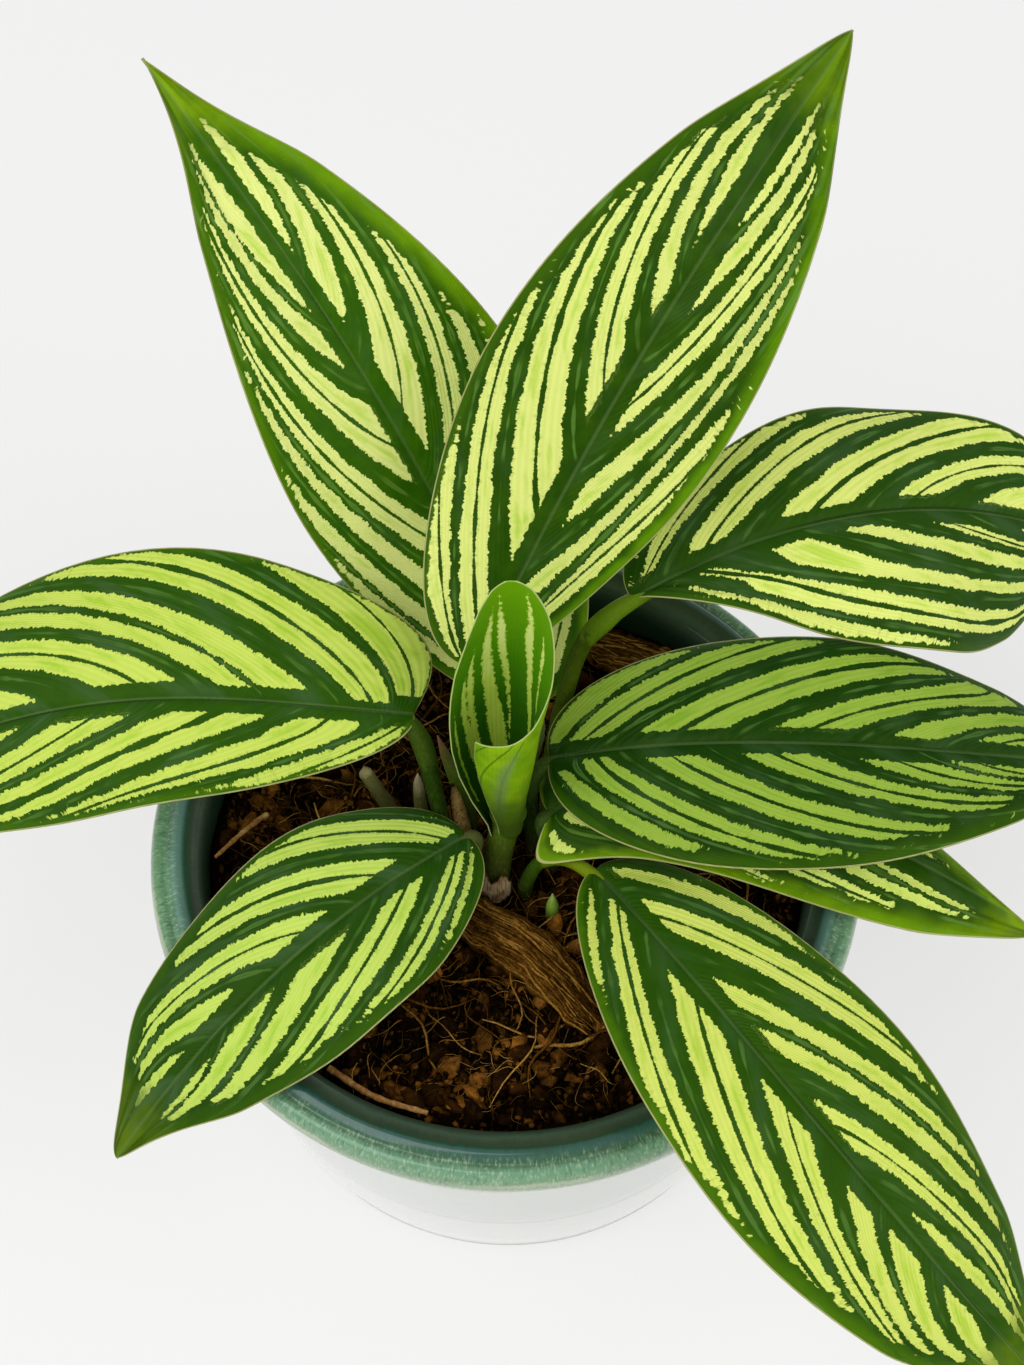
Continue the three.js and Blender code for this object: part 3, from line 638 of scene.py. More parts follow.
crumb_finish = fibrous_finish("crumb_finish", (0.004, 0.0015, 0.0003), (0.045, 0.016, 0.0025),
                              (0.32, 0.125, 0.018), deep=(83.3, 87.5))
fibre_finish = fibrous_finish("fibre_finish", (0.035, 0.013, 0.001), (0.17, 0.072, 0.009),
                              (0.52, 0.29, 0.058), 0.55, deep=(83, 86.5))
STREWN_THINGS = (  # name, kinds, how far out, how many on a square metre, sizes from and to, lean, finish
    ("coir_crumbs", [chunk(f"crumb_{k}", k, 1, (1.3, 0.9, 0.6)) for k in range(6)],
     62, 420000, 0.4, 1.1, 1.2, crumb_finish),
    ("coir_chips", [chunk(f"chip_{k}", 20 + k, 2, (1.5, 0.9, 0.6)) for k in range(8)],
     60, 38000, 1.0, 2.8, 0.8, crumb_finish),
    ("coir_short_fibres", [loose_fibre(f"short_{k}", 40 + k, 5.5, 0.12, 2.4) for k in range(12)],
     58.5, 150000, 0.4, 1.1, 0.6, fibre_finish),
    ("coir_long_fibres", [loose_fibre(f"long_{k}", 60 + k, 13, 0.33, 4.5) for k in range(12)],
     48, 19000, 0.55, 1.1, 0.3, fibre_finish),
)
for seed, (name, things, reach, density, smallest, largest, lean, finish) in enumerate(STREWN_THINGS):
    cover = heap(reach, STREWN_LEVEL).reshape(-1, 3)
    source = piece_of(name, cover, ring_faces(BED_RINGS, BED_SECTORS))
    kinds = kinds_of(name + "_kinds", things)
    made = modelled(source, STREWN, name, Kinds=kinds, Density=float(density), Seed=seed + 5,
                    Smallest=smallest, Largest=largest, Lean=lean, Finish=finish)
    for thing in list(kinds.objects):
        bpy.data.objects.remove(thing)
    bpy.data.collections.remove(kinds)
    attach(made, "root")

# ---------------------------------------------------------------- husk pieces
# Two blocks torn from a coconut's husk, lying on the coir. Each is a bundle of stiff fibres held in pith,
# frayed at the ends, so its body is ridged lengthwise and covered in drawn fibres.

HUSKS = {
    "husk_piece_front": dict(ends=((-8, -15), (16, -37)), width=11, height=6, seed=5, strands=210),
    "husk_piece_back": dict(ends=((19, 51), (39, 43)), width=9, height=5, seed=9, strands=110),
}
HUSK_FOOT = 85.5
HUSK_ROWS = 110
HUSK_COLUMNS = 40


def unit(v):
    return v / np.linalg.norm(v, axis=-1, keepdims=True)


def grid_of(rows, across):
    """How far along, from 0 to 1, and how far across each point of a grid is."""
    return np.meshgrid(np.linspace(0, 1, rows + 1), across, indexing="ij")


def closed_sheet(top, bottom):
    """Points and faces of a closed sheet between two grids, the first of them the upper face."""
    rows, columns = top.shape[:2]
    at = np.arange(rows * columns).reshape(rows, columns)
    a, b, c, d = at[:-1, :-1], at[:-1, 1:], at[1:, 1:], at[1:, :-1]
    upper = np.stack([a, b, c, d], -1).reshape(-1, 4)
    under = np.stack([a, d, c, b], -1).reshape(-1, 4) + at.size
    rim = np.concatenate([at[0, :-1], at[:-1, -1], at[-1, :0:-1], at[:0:-1, 0]])
    after = np.roll(rim, -1)
    edge = np.stack([rim, rim + at.size, after + at.size, after], -1)
    points = np.concatenate([top.reshape(-1, 3), bottom.reshape(-1, 3)])
    return points, np.vstack([upper, under, edge])


def husk_surface(husk, u, v, sink=0.0):
    """The upper side of a husk block: u runs along it from 0 to 1 and v across it from -1 to 1."""
    start, stop = (np.array(p, float) for p in husk["ends"])
    along = unit(stop - start)
    across = np.array([-along[1], along[0]])
    taper = 0.62 + 0.38 * np.sin(np.pi * (0.15 + 0.75 * u))
    place = start + np.multiply.outer(u, stop - start)
    sway = 0.8 * np.sin(5 * u + husk["seed"]) + 0.25 * v * np.sin(23 * u + 2 * v) + 0.2 * v * np.sin(41 * u)
    place = place + (v * taper * husk["width"] / 2 + sway)[..., None] * across
    dome = np.sqrt(np.clip(1 - 0.75 * v * v, 0, 1))
    rise = husk["height"] * taper * dome * (0.55 + 0.45 * np.sin(np.pi * u)) - sink
    return np.concatenate([place, (HUSK_FOOT + rise)[..., None]], -1)


def mark(made, **values):
    """Numbers on the points of a closed sheet, the same on both of its sides, for its material to read."""
    for name, numbers in values.items():
        attribute(made, name, np.tile(numbers.ravel(), 2))


def husk_block(name, husk, finish):
    draw = np.random.default_rng(husk["seed"])
    u, v = grid_of(HUSK_ROWS, np.linspace(-1, 1, HUSK_COLUMNS + 1))
    ragged = draw.uniform(-0.1, 0.1, HUSK_COLUMNS + 1)
    u = u + (2 * u - 1) * ragged
    ridges = np.zeros_like(v)
    for count in (5, 9, 14, 20):
        start, wander = draw.uniform(0, 2 * np.pi, 2)
        ridges += 1.1 / count**0.5 * np.sin(count * np.pi * v / 1.6 + start + 1.6 * np.sin(3.4 * u + wander))
    top = husk_surface(husk, u, v)
    broken = 0.5 * np.maximum(0, np.sin(9 * u + 4 * v) + np.sin(17 * u - 3 * v)) * (1 - v**4)
    top[..., 2] += 0.6 * ridges * (1 - 0.6 * v**4) + 0.3 - broken
    under = top.copy()
    under[..., 2] = HUSK_FOOT - 0.6 - 0.5 * (1 - v * v)
    points, faces = closed_sheet(under[:, ::-1], top[:, ::-1])
    made = piece_of(name.replace("piece", "block"), points, faces[:, ::-1], finish)
    run = np.linalg.norm(np.subtract(*husk["ends"])) * u
    mark(made, run=run[:, ::-1], side=(v * husk["width"] / 2)[:, ::-1])
    return made


def husk_strands(name, husk, finish):
    draw = np.random.default_rng(husk["seed"] + 50)
    lines = []
    for _ in range(husk["strands"]):
        start = draw.uniform(-0.12, 0.55)
        stop = start + draw.uniform(0.3, 0.75)
        u = np.linspace(start, min(stop, 1.14), 12)
        v = draw.uniform(-1, 1) + draw.uniform(-0.45, 0.45) * u + 0.08 * np.sin(9 * u + draw.uniform(0, 6))
        lift = draw.uniform(-0.3, 0.5) + 0.25 * np.sin(8 * u + draw.uniform(0, 6))
        points = husk_surface(husk, np.clip(u, -0.2, 1.2), np.clip(v, -1, 1), -lift - 0.35)
        loose = np.clip(np.maximum(-u, u - 1), 0, 1) * draw.uniform(-14, 12)
        points[:, 2] = np.maximum(points[:, 2] + loose, HUSK_FOOT - 0.3)
        radius = draw.uniform(0.10, 0.32) * (1 - 0.5 * np.abs(np.linspace(-1, 1, 12)) ** 3)
        lines.append(np.column_stack([points, radius]))
    return drawn(name.replace("piece", "strands"), lines, finish, sides=5)


def husk_finish(name, pith, fibre, edge):
    """Husk pith with fibres running along it: streaks from the numbers on the block's points."""
    material, tree, shader = finish_of(name, 0.8, 0.08, FIBRE_TINT)
    grain = vector(read(tree, "run") * 0.12, read(tree, "side"))
    tone = mottle(grain, 0.22, 3) * 0.5 + mottle(grain, 0.8, 5, 0.4) * 0.5
    tone = step_up(mottle(place_in(tree), 3.2, 3), 0.46, 0.34) * -0.3 + tone
    coat(shader, bands(tone, [(0.30, pith), (0.5, fibre), (0.70, edge)]), tone, 0.9)
    return material


husk_skin = husk_finish("husk_skin", (0.010, 0.0035, 0.0004), (0.105, 0.045, 0.005), (0.30, 0.145, 0.024))
strand_skin = fibrous_finish("strand_skin", (0.028, 0.010, 0.001), (0.13, 0.054, 0.006),
                             (0.38, 0.19, 0.034), 0.7, tone_from="strand", deep=(84, 88))
for name, husk in HUSKS.items():
    for made in (husk_block(name, husk, husk_skin), husk_strands(name, husk, strand_skin)):
        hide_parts(name)
        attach(made, "root")

# ---------------------------------------------------------------- open leaves
# Eight waxy blades, each grown on its own petiole, which runs on beneath it as a raised midrib.
# The pale stripes follow the side veins in pairs, with jagged edges and a thin dark line inside each pair.

BLADE_ROWS = 132
BLADE_COLUMNS = 60
BLADE_THICK = 0.5
MARGIN_THICK = 0.22
TIP_STRETCH = 0.2
LEAST_HALF_WIDTH = 0.3
GROOVE, KEEL = 0.4, 1.0  # along the midrib, how deep above and how proud below
PUCKER = 0.16  # how far the blade swells between two side veins
VEIN_SPREAD = 1.5  # the side veins leave the midrib steeply and then run with the margin
VEIN_LEAN = 0.5  # how far along the blade a side vein has come when it meets the margin

# rib: four points that the midrib passes through, in millimetres. face: the way the upper side looks.
# left, right: widest half-width, fullness at the base and at the tip. pinch: how far the tip draws in.
# curl: how far the margins turn down, in degrees. lobe: how far the base of each half reaches back.
# wave: the height, number and phase of the waves in each margin.
LEAVES = {
    "leaf_back_left": dict(
        rib=[(6, 25, 104), (-14, 53, 140), (-36, 74, 176), (-68, 110, 204)], face=(0.1, -0.6, 0.8),
        left=(26, 0.75, 1.15), right=(29, 0.56, 0.9), pinch=0.4, curl=20, lobe=(4, 4),
        wave=((1.5, 2.2, 0.1), (2, 1.8, 0.3))),
    "leaf_back_centre": dict(
        rib=[(-6, 17, 132), (15, 42, 166), (35, 60, 198), (64, 97, 220)], face=(0, -0.6, 0.8),
        left=(26, 0.5, 0.77), right=(22.3, 0.75, 0.8), pinch=0.25, curl=20, lobe=(4, 4),
        wave=((1.5, 2, 0.2), (1.5, 2, 0.6))),
    "leaf_upper_right": dict(
        rib=[(26, 33, 132), (58, 44, 140), (94, 53, 134), (131, 54, 116)], face=(0, -0.3, 0.95),
        left=(25, 0.6, 0.58), right=(30.5, 1.3, 0.8), pinch=0.6, curl=30, lobe=(4, 4),
        wave=((2.5, 2.6, 0.2), (3, 2, 0.1))),
    "leaf_middle_right": dict(
        rib=[(9, 7, 113), (46, 4, 124), (85, 3, 122), (127, 6, 108)], face=(0, -0.12, 0.99),
        left=(25, 0.5, 0.7), right=(26, 0.6, 0.95), pinch=0.4, curl=30, lobe=(4, 4),
        wave=((1, 2, 0.1), (1, 2, 0.5))),
    "leaf_lower_right": dict(
        rib=[(8.9, -1.2, 103.8), (38, 2, 109), (73, -9, 107), (107, -26, 98)], face=(0, -0.1, 0.95),
        left=(17, 0.5, 1.3), right=(18, 0.45, 0.60), pinch=0.2, curl=30, lobe=(1, 19),
        wave=((1, 2, 0.1), (3.5, 0.9, 0))),
    "leaf_front_right": dict(
        rib=[(18, -13, 102), (43, -53, 116), (68, -84, 110), (100, -114, 88)], face=(0.1, -0.2, 0.95),
        left=(25, 0.5, 0.62), right=(24, 0.6, 0.6), pinch=0.5, curl=30, lobe=(4, 4),
        wave=((1, 2, 0.1), (1.5, 2, 0.5))),
    "leaf_front_left": dict(
        rib=[(-8, -6, 104), (-28, -24, 112), (-51, -43, 106), (-76, -68, 90)], face=(-0.1, -0.2, 0.95),
        left=(21, 0.6, 0.72), right=(22, 0.5, 0.55), pinch=0.45, curl=30, lobe=(4, 4),
        wave=((2, 2.2, 0.3), (1, 2, 0.5))),
    "leaf_left": dict(
        rib=[(-18, 10, 126), (-56, 8, 136), (-94, 8, 130), (-142, 1, 108)], face=(0, -0.3, 0.95),
        left=(22, 0.6, 0.4), right=(31.5, 0.36, 0.5), pinch=0.5, curl=30, lobe=(4, 7),
        wave=((2, 2, 0.4), (2, 1.2, 0.71))),
}
FOLD = 8  # how far each half rises from the midrib, in degrees, before it curls down

# The stripes of each half, base to tip. Each row holds where one starts and stops at three or four even
# steps from the midrib to the margin, in hundredths of the blade's length and less the lean of its veins.
# Its last number is the half-width, in quarters of a millimetre, of the dark line that parts a pair. It is
# 0 for a lone stripe.
STRIPES = {
    "leaf_back_left": (
        [(-13, -9, -29, -20, -25, -7, 0), (-10, -2, -15, -3, -4, 7, 0), (7, 15, 6, 14, 21, 25, 0),
         (21, 28, 19, 31, 32, 37, 1.3), (35, 49, 39.5, 51, 43, 56, 1.4), (55, 60, 58, 65, 62, 66, 0),
         (63, 82, 68, 73, 70, 74, 0)],
        [(-6, 0, -22, -13, -30, -16, 1), (6, 13, 0, 9, 2, 10, 1), (18, 24, 13, 21, 21, 24, 0),
         (28, 33, 26.5, 36, 30, 37, 1.2), (37, 53, 44.5, 55.5, 45, 50, 1.4),
         (60, 68, 60.5, 69, 60, 63, 0.8), (71, 88, 78, 83, 80, 82, 0)]),
    "leaf_back_centre": (
        [(-14, -10, -27, -19, -42, -12, 1), (0, 4, -12.5, 5.5, 2, 16, 1.4),
         (12.5, 29, 14.5, 35, 27, 33, 2.4), (36.5, 48, 41.5, 53, 36, 44, 1),
         (56.5, 61, 59, 66.5, 56, 60, 0), (66, 76, 76, 81, 76, 80, 0)],
        [(-6, -4, -15, -12, -25, 11, 4, 17, 1), (7, 11, 2, 11, 23, 31, 35, 37, 0),
         (18, 27, 24.5, 34, 37, 43, 40, 42, 0.8), (35.5, 46, 45.5, 60, 50, 58, 52, 54, 1.2),
         (56, 64, 66, 75.5, 70, 72, 70, 71, 0), (69, 88, 84, 88, 86, 88, 0)]),
    "leaf_upper_right": (
        [(-2, 3, -16, -5, -28, 0, 1.2), (12, 18, 4, 20.5, 11, 18, 1.3), (29, 44, 29, 44.5, 20, 34, 2.2),
         (53, 60, 51, 62, 44, 54, 1), (70, 79, 68, 76, 66, 72, 0)],
        [(0, 4, -8, -5, -19, -12, -22, 30, 0), (10, 13, 3.5, 13.5, 0.5, 50, 75, 140, 2),
         (26, 33, 28, 46, 100, 125, 160, 170, 0.6), (37, 42, 72, 92, 140, 150, 180, 190, 0),
         (55, 62, 98, 108, 150, 160, 190, 200, 1), (74, 82, 112, 120, 170, 180, 200, 210, 0)]),
    "leaf_middle_right": (
        [(-3, 0, -27, -15, -42, -20, 0), (1, 6, -12, 6, -13, 5, 1.5), (13, 29, 15, 33.5, 18, 27, 2.2),
         (36, 50, 41, 53, 24, 33, 1.4), (58, 66, 57, 64, 38, 43, 0), (71, 80, 71, 76, 60, 64, 1)],
        [(0, 4, -20, -13, -25, -5, 0), (6, 10, -8, 6, 0, 14, 2), (15.5, 24.5, 16, 31, 27, 40, 1.6),
         (31, 43, 43, 56, 50, 60, 1.4), (50, 62, 62, 72, 66, 72, 1), (65, 76, 75, 82, 76, 82, 1)]),
    "leaf_lower_right": (
        [(5, 10, 0, 8, -10, 2, 1), (15, 22, 14, 24, 6, 16, 1), (29, 38, 30, 42, 22, 34, 1),
         (46, 55, 48, 58, 40, 50, 1), (62, 70, 62, 69, 56, 62, 0)],
        [(-2, 0, -25, -21.5, -38, -31.5, 0), (3, 8, -10, 0, 6, 30, 1), (13, 18, 12, 40, 75, 95, 1),
         (26, 33, 58, 78, 110, 130, 0), (44, 52, 92, 105, 140, 150, 0)]),
    "leaf_front_right": (
        [(0, 3, -20, -13, -28, -12, 0), (7, 12, -3.5, 14, 3, 21, 1.2), (22, 28, 26.5, 33.5, 29, 33, 0),
         (31.5, 37, 37.5, 46, 40, 47, 0), (46.5, 56, 57, 73, 62, 74, 1.3), (66, 76, 82, 92, 85, 93, 0)],
        [(-2, 0, -22, -18, -36, -24, 0), (4, 7.5, -10, 3.5, -14, 18, 1.4),
         (17, 30, 17.5, 36.5, 28, 35, 1.6), (38.5, 50.5, 42, 50, 34, 39, 1), (59, 64, 51, 56, 39, 43, 0),
         (68, 74, 57.5, 63, 46, 50, 0), (79, 85, 66, 70, 53, 56, 0)]),
    "leaf_front_left": (
        [(-8, -5, -20, -16, -25, -15, 0), (2, 6, -10.5, 5, 0, 20, 1.5), (15, 23, 15, 38, 30, 35, 1.6),
         (36, 50, 46, 57.5, 41, 45, 0), (58, 70, 62, 71, 55, 60, 0), (72.5, 86, 76, 80, 72, 74, 0)],
        [(-10, -7, -30, -26, -44, -38, 0), (3, 7.5, -15, 8, -10, 10, 1.5), (16.5, 32, 19, 36, 20, 31, 1.7),
         (38, 53, 45.5, 59, 46, 51, 1), (62, 73, 63, 68, 58, 61, 0), (77, 83, 76, 79, 72, 74, 0)]),
    "leaf_left": (
        [(0, 2, -28, -15, -48, -5, 1), (9, 15, -6, 12, -7, 16, 16, 27, 1.4),
         (20.5, 38, 23.5, 47, 34, 54, 3), (45.5, 59, 51, 65, 54, 66, 1.3), (66, 76, 70, 77, 66, 72, 0),
         (80, 87, 80, 84, 76, 80, 0)],
        [(0, 3, -29, -15, -50, -19, 1.3), (4, 9, -10, 9.5, -3, 20, 2.2), (15, 24.5, 21.5, 30, 25, 29, 0),
         (25, 31, 33, 40.5, 30, 38, 0), (37.5, 52, 47, 62, 50, 65, 1.8), (63, 75, 68, 78, 70, 76, 1)]),
}

# The colours of the stripes, the dark bands between them and the margin, how much painted sheen lies in grey
# patches on the dark bands, and then for each half how bright the margin gets and how far the stripes stay
# from it, in millimetres.
LEAF_TONES = {
    "leaf_back_left": ((0.76, 0.83, 0.25), (0.021, 0.092, 0.0006), (0.17, 0.36, 0.001), 0.2,
                       (0.3, 0.95), (1.3, 3.6)),
    "leaf_back_centre": ((0.72, 0.80, 0.213), (0.013, 0.058, 0.0006), (0.12, 0.29, 0.001), 0.2,
                         (0.2, 0.9), (1.8, 2.2)),
    "leaf_upper_right": ((0.74, 0.83, 0.20), (0.012, 0.056, 0.0015), (0.05, 0.14, 0.001), 0.45,
                         (0.3, 0.4), (0.9, 0.9)),
    "leaf_middle_right": ((0.285, 0.43, 0.050), (0.004, 0.034, 0.0008), (0.05, 0.14, 0.001), 0.3,
                          (0.3, 0.5), (1.2, 2.8)),
    "leaf_lower_right": ((0.69, 0.82, 0.175), (0.012, 0.055, 0.0012), (0.16, 0.32, 0.001), 0.3,
                         (0.9, 0.95), (1.5, 2.4)),
    "leaf_front_right": ((0.64, 0.74, 0.14), (0.015, 0.065, 0.0010), (0.08, 0.20, 0.001), 0.3,
                         (0.4, 0.7), (1.9, 2.2)),
    "leaf_front_left": ((0.535, 0.70, 0.12), (0.0115, 0.055, 0.0020), (0.05, 0.14, 0.001), 0.6,
                        (0.4, 0.4), (2.2, 2.2)),
    "leaf_left": ((0.56, 0.70, 0.110), (0.015, 0.068, 0.0012), (0.07, 0.19, 0.001), 0.5,
                  (0.5, 0.5), (1.0, 0.8)),
}
UNDERSIDE = (0.24, 0.38, 0.10)
LUSH_SHARE = (0.62, 0.80, 0.28)  # of a stripe's own red, green and blue
WAX_TINT = (0.7, 0.8, 0.25)


def midrib(rib, t):
    """Points of the midrib and the way it runs there."""
    a, b, c, d = (np.array(p, float) for p in rib)
    out, back_in = (-5 * a + 18 * b - 9 * c + 2 * d) / 6, (2 * a - 9 * b + 18 * c - 5 * d) / 6
    t = np.asarray(t, float)[..., None]
    u = 1 - t
    place = u**3 * a + 3 * u * u * t * out + 3 * u * t * t * back_in + t**3 * d
    way = u * u * (out - a) + 2 * u * t * (back_in - out) + t * t * (d - back_in)
    return place, unit(way)


def half_width(shape, pinch, t):
    widest, base, tip = shape
    peak = base / (base + tip)
    u = np.clip((t - 1 + TIP_STRETCH) / TIP_STRETCH, 0, 1)
    plain = widest * (t / peak) ** base * ((1 - t) / (1 - peak)) ** tip
    return np.maximum(plain * (1 - pinch * u * u * (3 - 2 * u)), LEAST_HALF_WIDTH)


def blade_surface(leaf, t, v):
    """The middle surface of a blade, the way its upper side looks, and its half-width there."""
    place, along = midrib(leaf["rib"], t)
    face = np.array(leaf["face"], float)
    upper = unit(face - (along * face).sum(-1, keepdims=True) * along)
    side = np.cross(along, upper)
    out = np.abs(v)
    pick = (v >= 0).astype(int)
    half = np.where(v < 0, *(half_width(leaf[hand], leaf["pinch"], t) for hand in ("left", "right")))
    rise = np.radians(FOLD - leaf["curl"] * out / 2)
    height, number, phase = np.moveaxis(np.array(leaf["wave"])[pick], -1, 0)
    wave = height * out * out * np.sin(np.pi * t) ** 0.7 * np.sin(2 * np.pi * (number * t + phase))
    lobe = np.array(leaf["lobe"])[pick] * out * out * half / 12 * np.maximum(1 - t / 0.25, 0) ** 2
    place = place + side * (half * v * np.cos(rise))[..., None]
    place = place + upper * (half * out * np.sin(rise) + wave)[..., None] - along * lobe[..., None]
    return place, upper, half


def evenly(values, f):
    """A value along even steps from 0 to 1: on a parabola through three values, on a spline through more."""
    steps = np.linspace(0, 1, len(values))
    if len(values) == 3:
        return np.polyval(np.polyfit(steps, values, 2), f)
    line = through(np.stack([steps, values], -1), 8)
    return np.interp(f, *line.T)


def stripe_phase(rows, t, out):
    """Which stripe each point of a half is on, and how wide the line in that one is.

    The whole part is the number of the stripe. The stripe lies from 0.2 to 0.8 of the rest.
    """
    lines = [row[-1] for row in rows]
    rows = [np.array(row[:-1]) / 100 for row in rows]
    f = out[0] ** VEIN_SPREAD
    starts, stops = (np.stack([evenly(row[k::2], f) for row in rows]) + VEIN_LEAN * f for k in (0, 1))
    number = np.arange(1, len(rows) + 1)
    phases = np.stack([number + 0.2, number + 0.5, number + 0.8], -1).ravel()
    phases = np.concatenate([[1.05], phases, [len(rows) + 0.95]])
    pairs = np.concatenate([lines[:1], np.repeat(lines, 3), lines[-1:]])
    phase, pair = np.zeros_like(t), np.zeros_like(t)
    for j in range(t.shape[1]):
        places = np.stack([starts[:, j], (starts[:, j] + stops[:, j]) / 2, stops[:, j]], -1).ravel()
        places = np.maximum.accumulate(np.concatenate([[places[0] - 0.08], places, [places[-1] + 0.08]]))
        places += 1e-4 * np.arange(len(places))
        phase[:, j] = np.interp(t[:, j], places, phases)
        pair[:, j] = np.interp(t[:, j], places, pairs)
    return phase, pair


def markings():
    """The shader group that lays stripes, veins and margin over a blade from the numbers on its points."""
    tree = bpy.data.node_groups.new("calathea_markings", "ShaderNodeTree")
    given, result = sockets(tree, dict(Stripe="Color", Lush="Color", Dark="Color", Margin="Color",
                                       Underside="Color", Sheen_Share="Float"),
                            dict(Colour="Color", Height="Float", Roughness="Float"))
    stripe, lush, dark, margin, underside, sheen_share = given.values()
    phase, pair, wide, off = (read(tree, name) for name in ("phase", "pair", "wide", "off"))
    edge, run, along, half = (read(tree, name) for name in ("edge", "run", "along", "half"))
    room, bright = (read(tree, name) for name in ("border", "bright"))
    spot = place_in(tree)
    # teeth: fine marks square to the veins, which run at about 30 degrees to the midrib
    with_vein = run * 0.87 + off * 0.5
    over_vein = off * 0.87 + run * -0.5
    grain = vector(with_vein, over_vein * 0.35, half * 50.0)
    tooth = mottle(grain, 0.95, 2) - 0.5
    fine_tooth = mottle(grain, 0.42, 1) - 0.5
    wander = mottle(spot, 6, 2) - 0.5
    number = vector(calc("FLOOR", phase), half)
    drawn_lot = node(tree, "ShaderNodeTexWhiteNoise", noise_dimensions="2D", Vector=number)
    chance = Value(drawn_lot.outputs["Value"])
    # how far inside a stripe each point is, in millimetres
    across = calc("ABSOLUTE", calc("FRACT", phase) - 0.5)
    inside = (0.3 - across) * wide + (wander * 1.2 + tooth * 1.3 + fine_tooth * 0.9)
    from_rib = off - (chance * 2.0 + 1.5) + tooth * 1.5
    from_edge = edge - (chance * 0.7 + 0.65 + wander * 1.7) * room + tooth * 2.0
    inside = calc("SMOOTH_MIN", inside, from_rib, 1.0)
    inside = calc("SMOOTH_MIN", inside, from_edge * 0.55, 1.8)
    line = across * wide + fine_tooth * 0.5 - (wander * 0.6 + 0.23) * pair
    line = calc("SUBTRACT", 1.0, pair, clamp=True) * 9.0 + line
    inside = calc("MINIMUM", inside, line)
    # flecks of pale green strewn along the margin
    fleck = step_up(mottle(grain, 0.8, 3), 0.645, 0.68)
    strewn = step_up(edge, 0.9, 1.5) * step_up(edge, 4.2, 3.0) * step_up(mottle(spot, 14, 1), 0.56, 0.64)
    light = calc("MAXIMUM", step_up(inside, -0.06, 0.08), fleck * strewn)
    # colours of a stripe, lusher inside and frayed at its edge
    soft = mottle(spot, 5, 3)
    flow = vector(with_vein * 0.22, over_vein, half * 50.0 + chance)
    lusher = step_up(mottle(flow, 2.6, 4), 0.42, 0.64) * step_up(inside, 0.25, 1.6) * 0.8
    frayed = step_up(mottle(grain, 0.7, 2), 0.5, 0.7) * 0.3 * step_up(inside, 0.9, 0.2)
    pale = layered(stripe, (lusher, lush), (frayed, margin))
    # colours between the stripes, with the margin, the tip, the veins and a painted sheen
    lime = step_up(wander * -3.0 + edge, room * 0.8 + 1.8, 0.3) * bright
    tip = step_up(wander * 0.1 + along, 0.87, 0.96)
    vein = step_up(calc("ABSOLUTE", wander * 1.6 + (0.5 - across) * wide), 0.42, 0.12)
    vein = vein * step_up(off, 0.4, 1.6) * step_up(mottle(spot, 9, 2), 0.38, 0.6)
    # painted sheen: grey patches of reflected light on the dark bands, kept off the margin
    painted_sheen = step_up(mottle(flow, 4, 5), 0.45, 0.72) * sheen_share * step_up(edge, 1.5, 5.0)
    deep = layered(
        dark,
        (lime, margin),
        (tip * (bright * 0.5 + 0.4), blend(0.2, margin, (0.42, 0.46, 0.01))),
        (step_up(soft, 0.35, 0.75) * 0.35, blend(0.28, dark, margin)),
        (vein * 0.6, blend(0.6, margin, (0.11, 0.22, 0.06))),
        (painted_sheen, (0.050, 0.110, 0.040)),
    )
    light = light * (1.0 - tip)
    threads = calc("SINE", phase * (2 * math.pi * 11))
    rib_line = step_up(off, 0.5, 0.15)
    colour = layered(
        deep,
        (light, pale),
        (threads * 0.04 + 0.04, dark),
        (rib_line * 0.3, (0.12, 0.20, 0.06)),
        (step_up(edge, 0.34, 0.2) * 0.75, (0.52, 0.50, 0.20)),
    )
    below = layered(underside, (calc("ADD", vein, rib_line, clamp=True) * 0.5, (0.09, 0.18, 0.03)),
                    (light * 0.3, stripe))
    put(result["Colour"], blend(read(tree, "under"), colour, below))
    put(result["Height"], threads * 0.14 + (light * 0.35 + soft * 0.8))
    put(result["Roughness"], soft * 0.16 + 0.38)
    return tree


MARKINGS = markings()


def leaf_finish(name, stripe, dark, margin, sheen_share):
    material, tree, shader = finish_of(name, 0.45, 0.16, WAX_TINT)
    lush = tuple(a * b for a, b in zip(stripe, LUSH_SHARE))
    group = node(tree, "ShaderNodeGroup", node_tree=MARKINGS)
    for socket, value in zip(group.inputs, (stripe, lush, dark, margin, UNDERSIDE, sheen_share)):
        put(socket, value)
    put(shader.inputs["Roughness"], group.outputs["Roughness"])
    coat(shader, group.outputs["Colour"], Value(group.outputs["Height"]), 0.2)
    return material


def millimetres_each(place, phase):
    """How many millimetres of the surface one whole step of phase takes."""
    down, over = np.gradient(place, axis=0), np.gradient(place, axis=1)
    rise, turn = np.gradient(phase, axis=0), np.gradient(phase, axis=1)
    a, b, c = (down * down).sum(-1), (down * over).sum(-1), (over * over).sum(-1)
    slope = (c * rise**2 - 2 * b * rise * turn + a * turn**2) / np.maximum(a * c - b * b, 1e-6)
    return np.clip(1 / np.sqrt(np.maximum(slope, 1e-5)), 0.5, 60)


def spread(count):
    """Places from -1 to 1 across a blade, closest at the midrib."""
    u = np.linspace(-1, 1, count + 1)
    return u * (0.6 + 0.8 * u**2 - 0.4 * u**4)


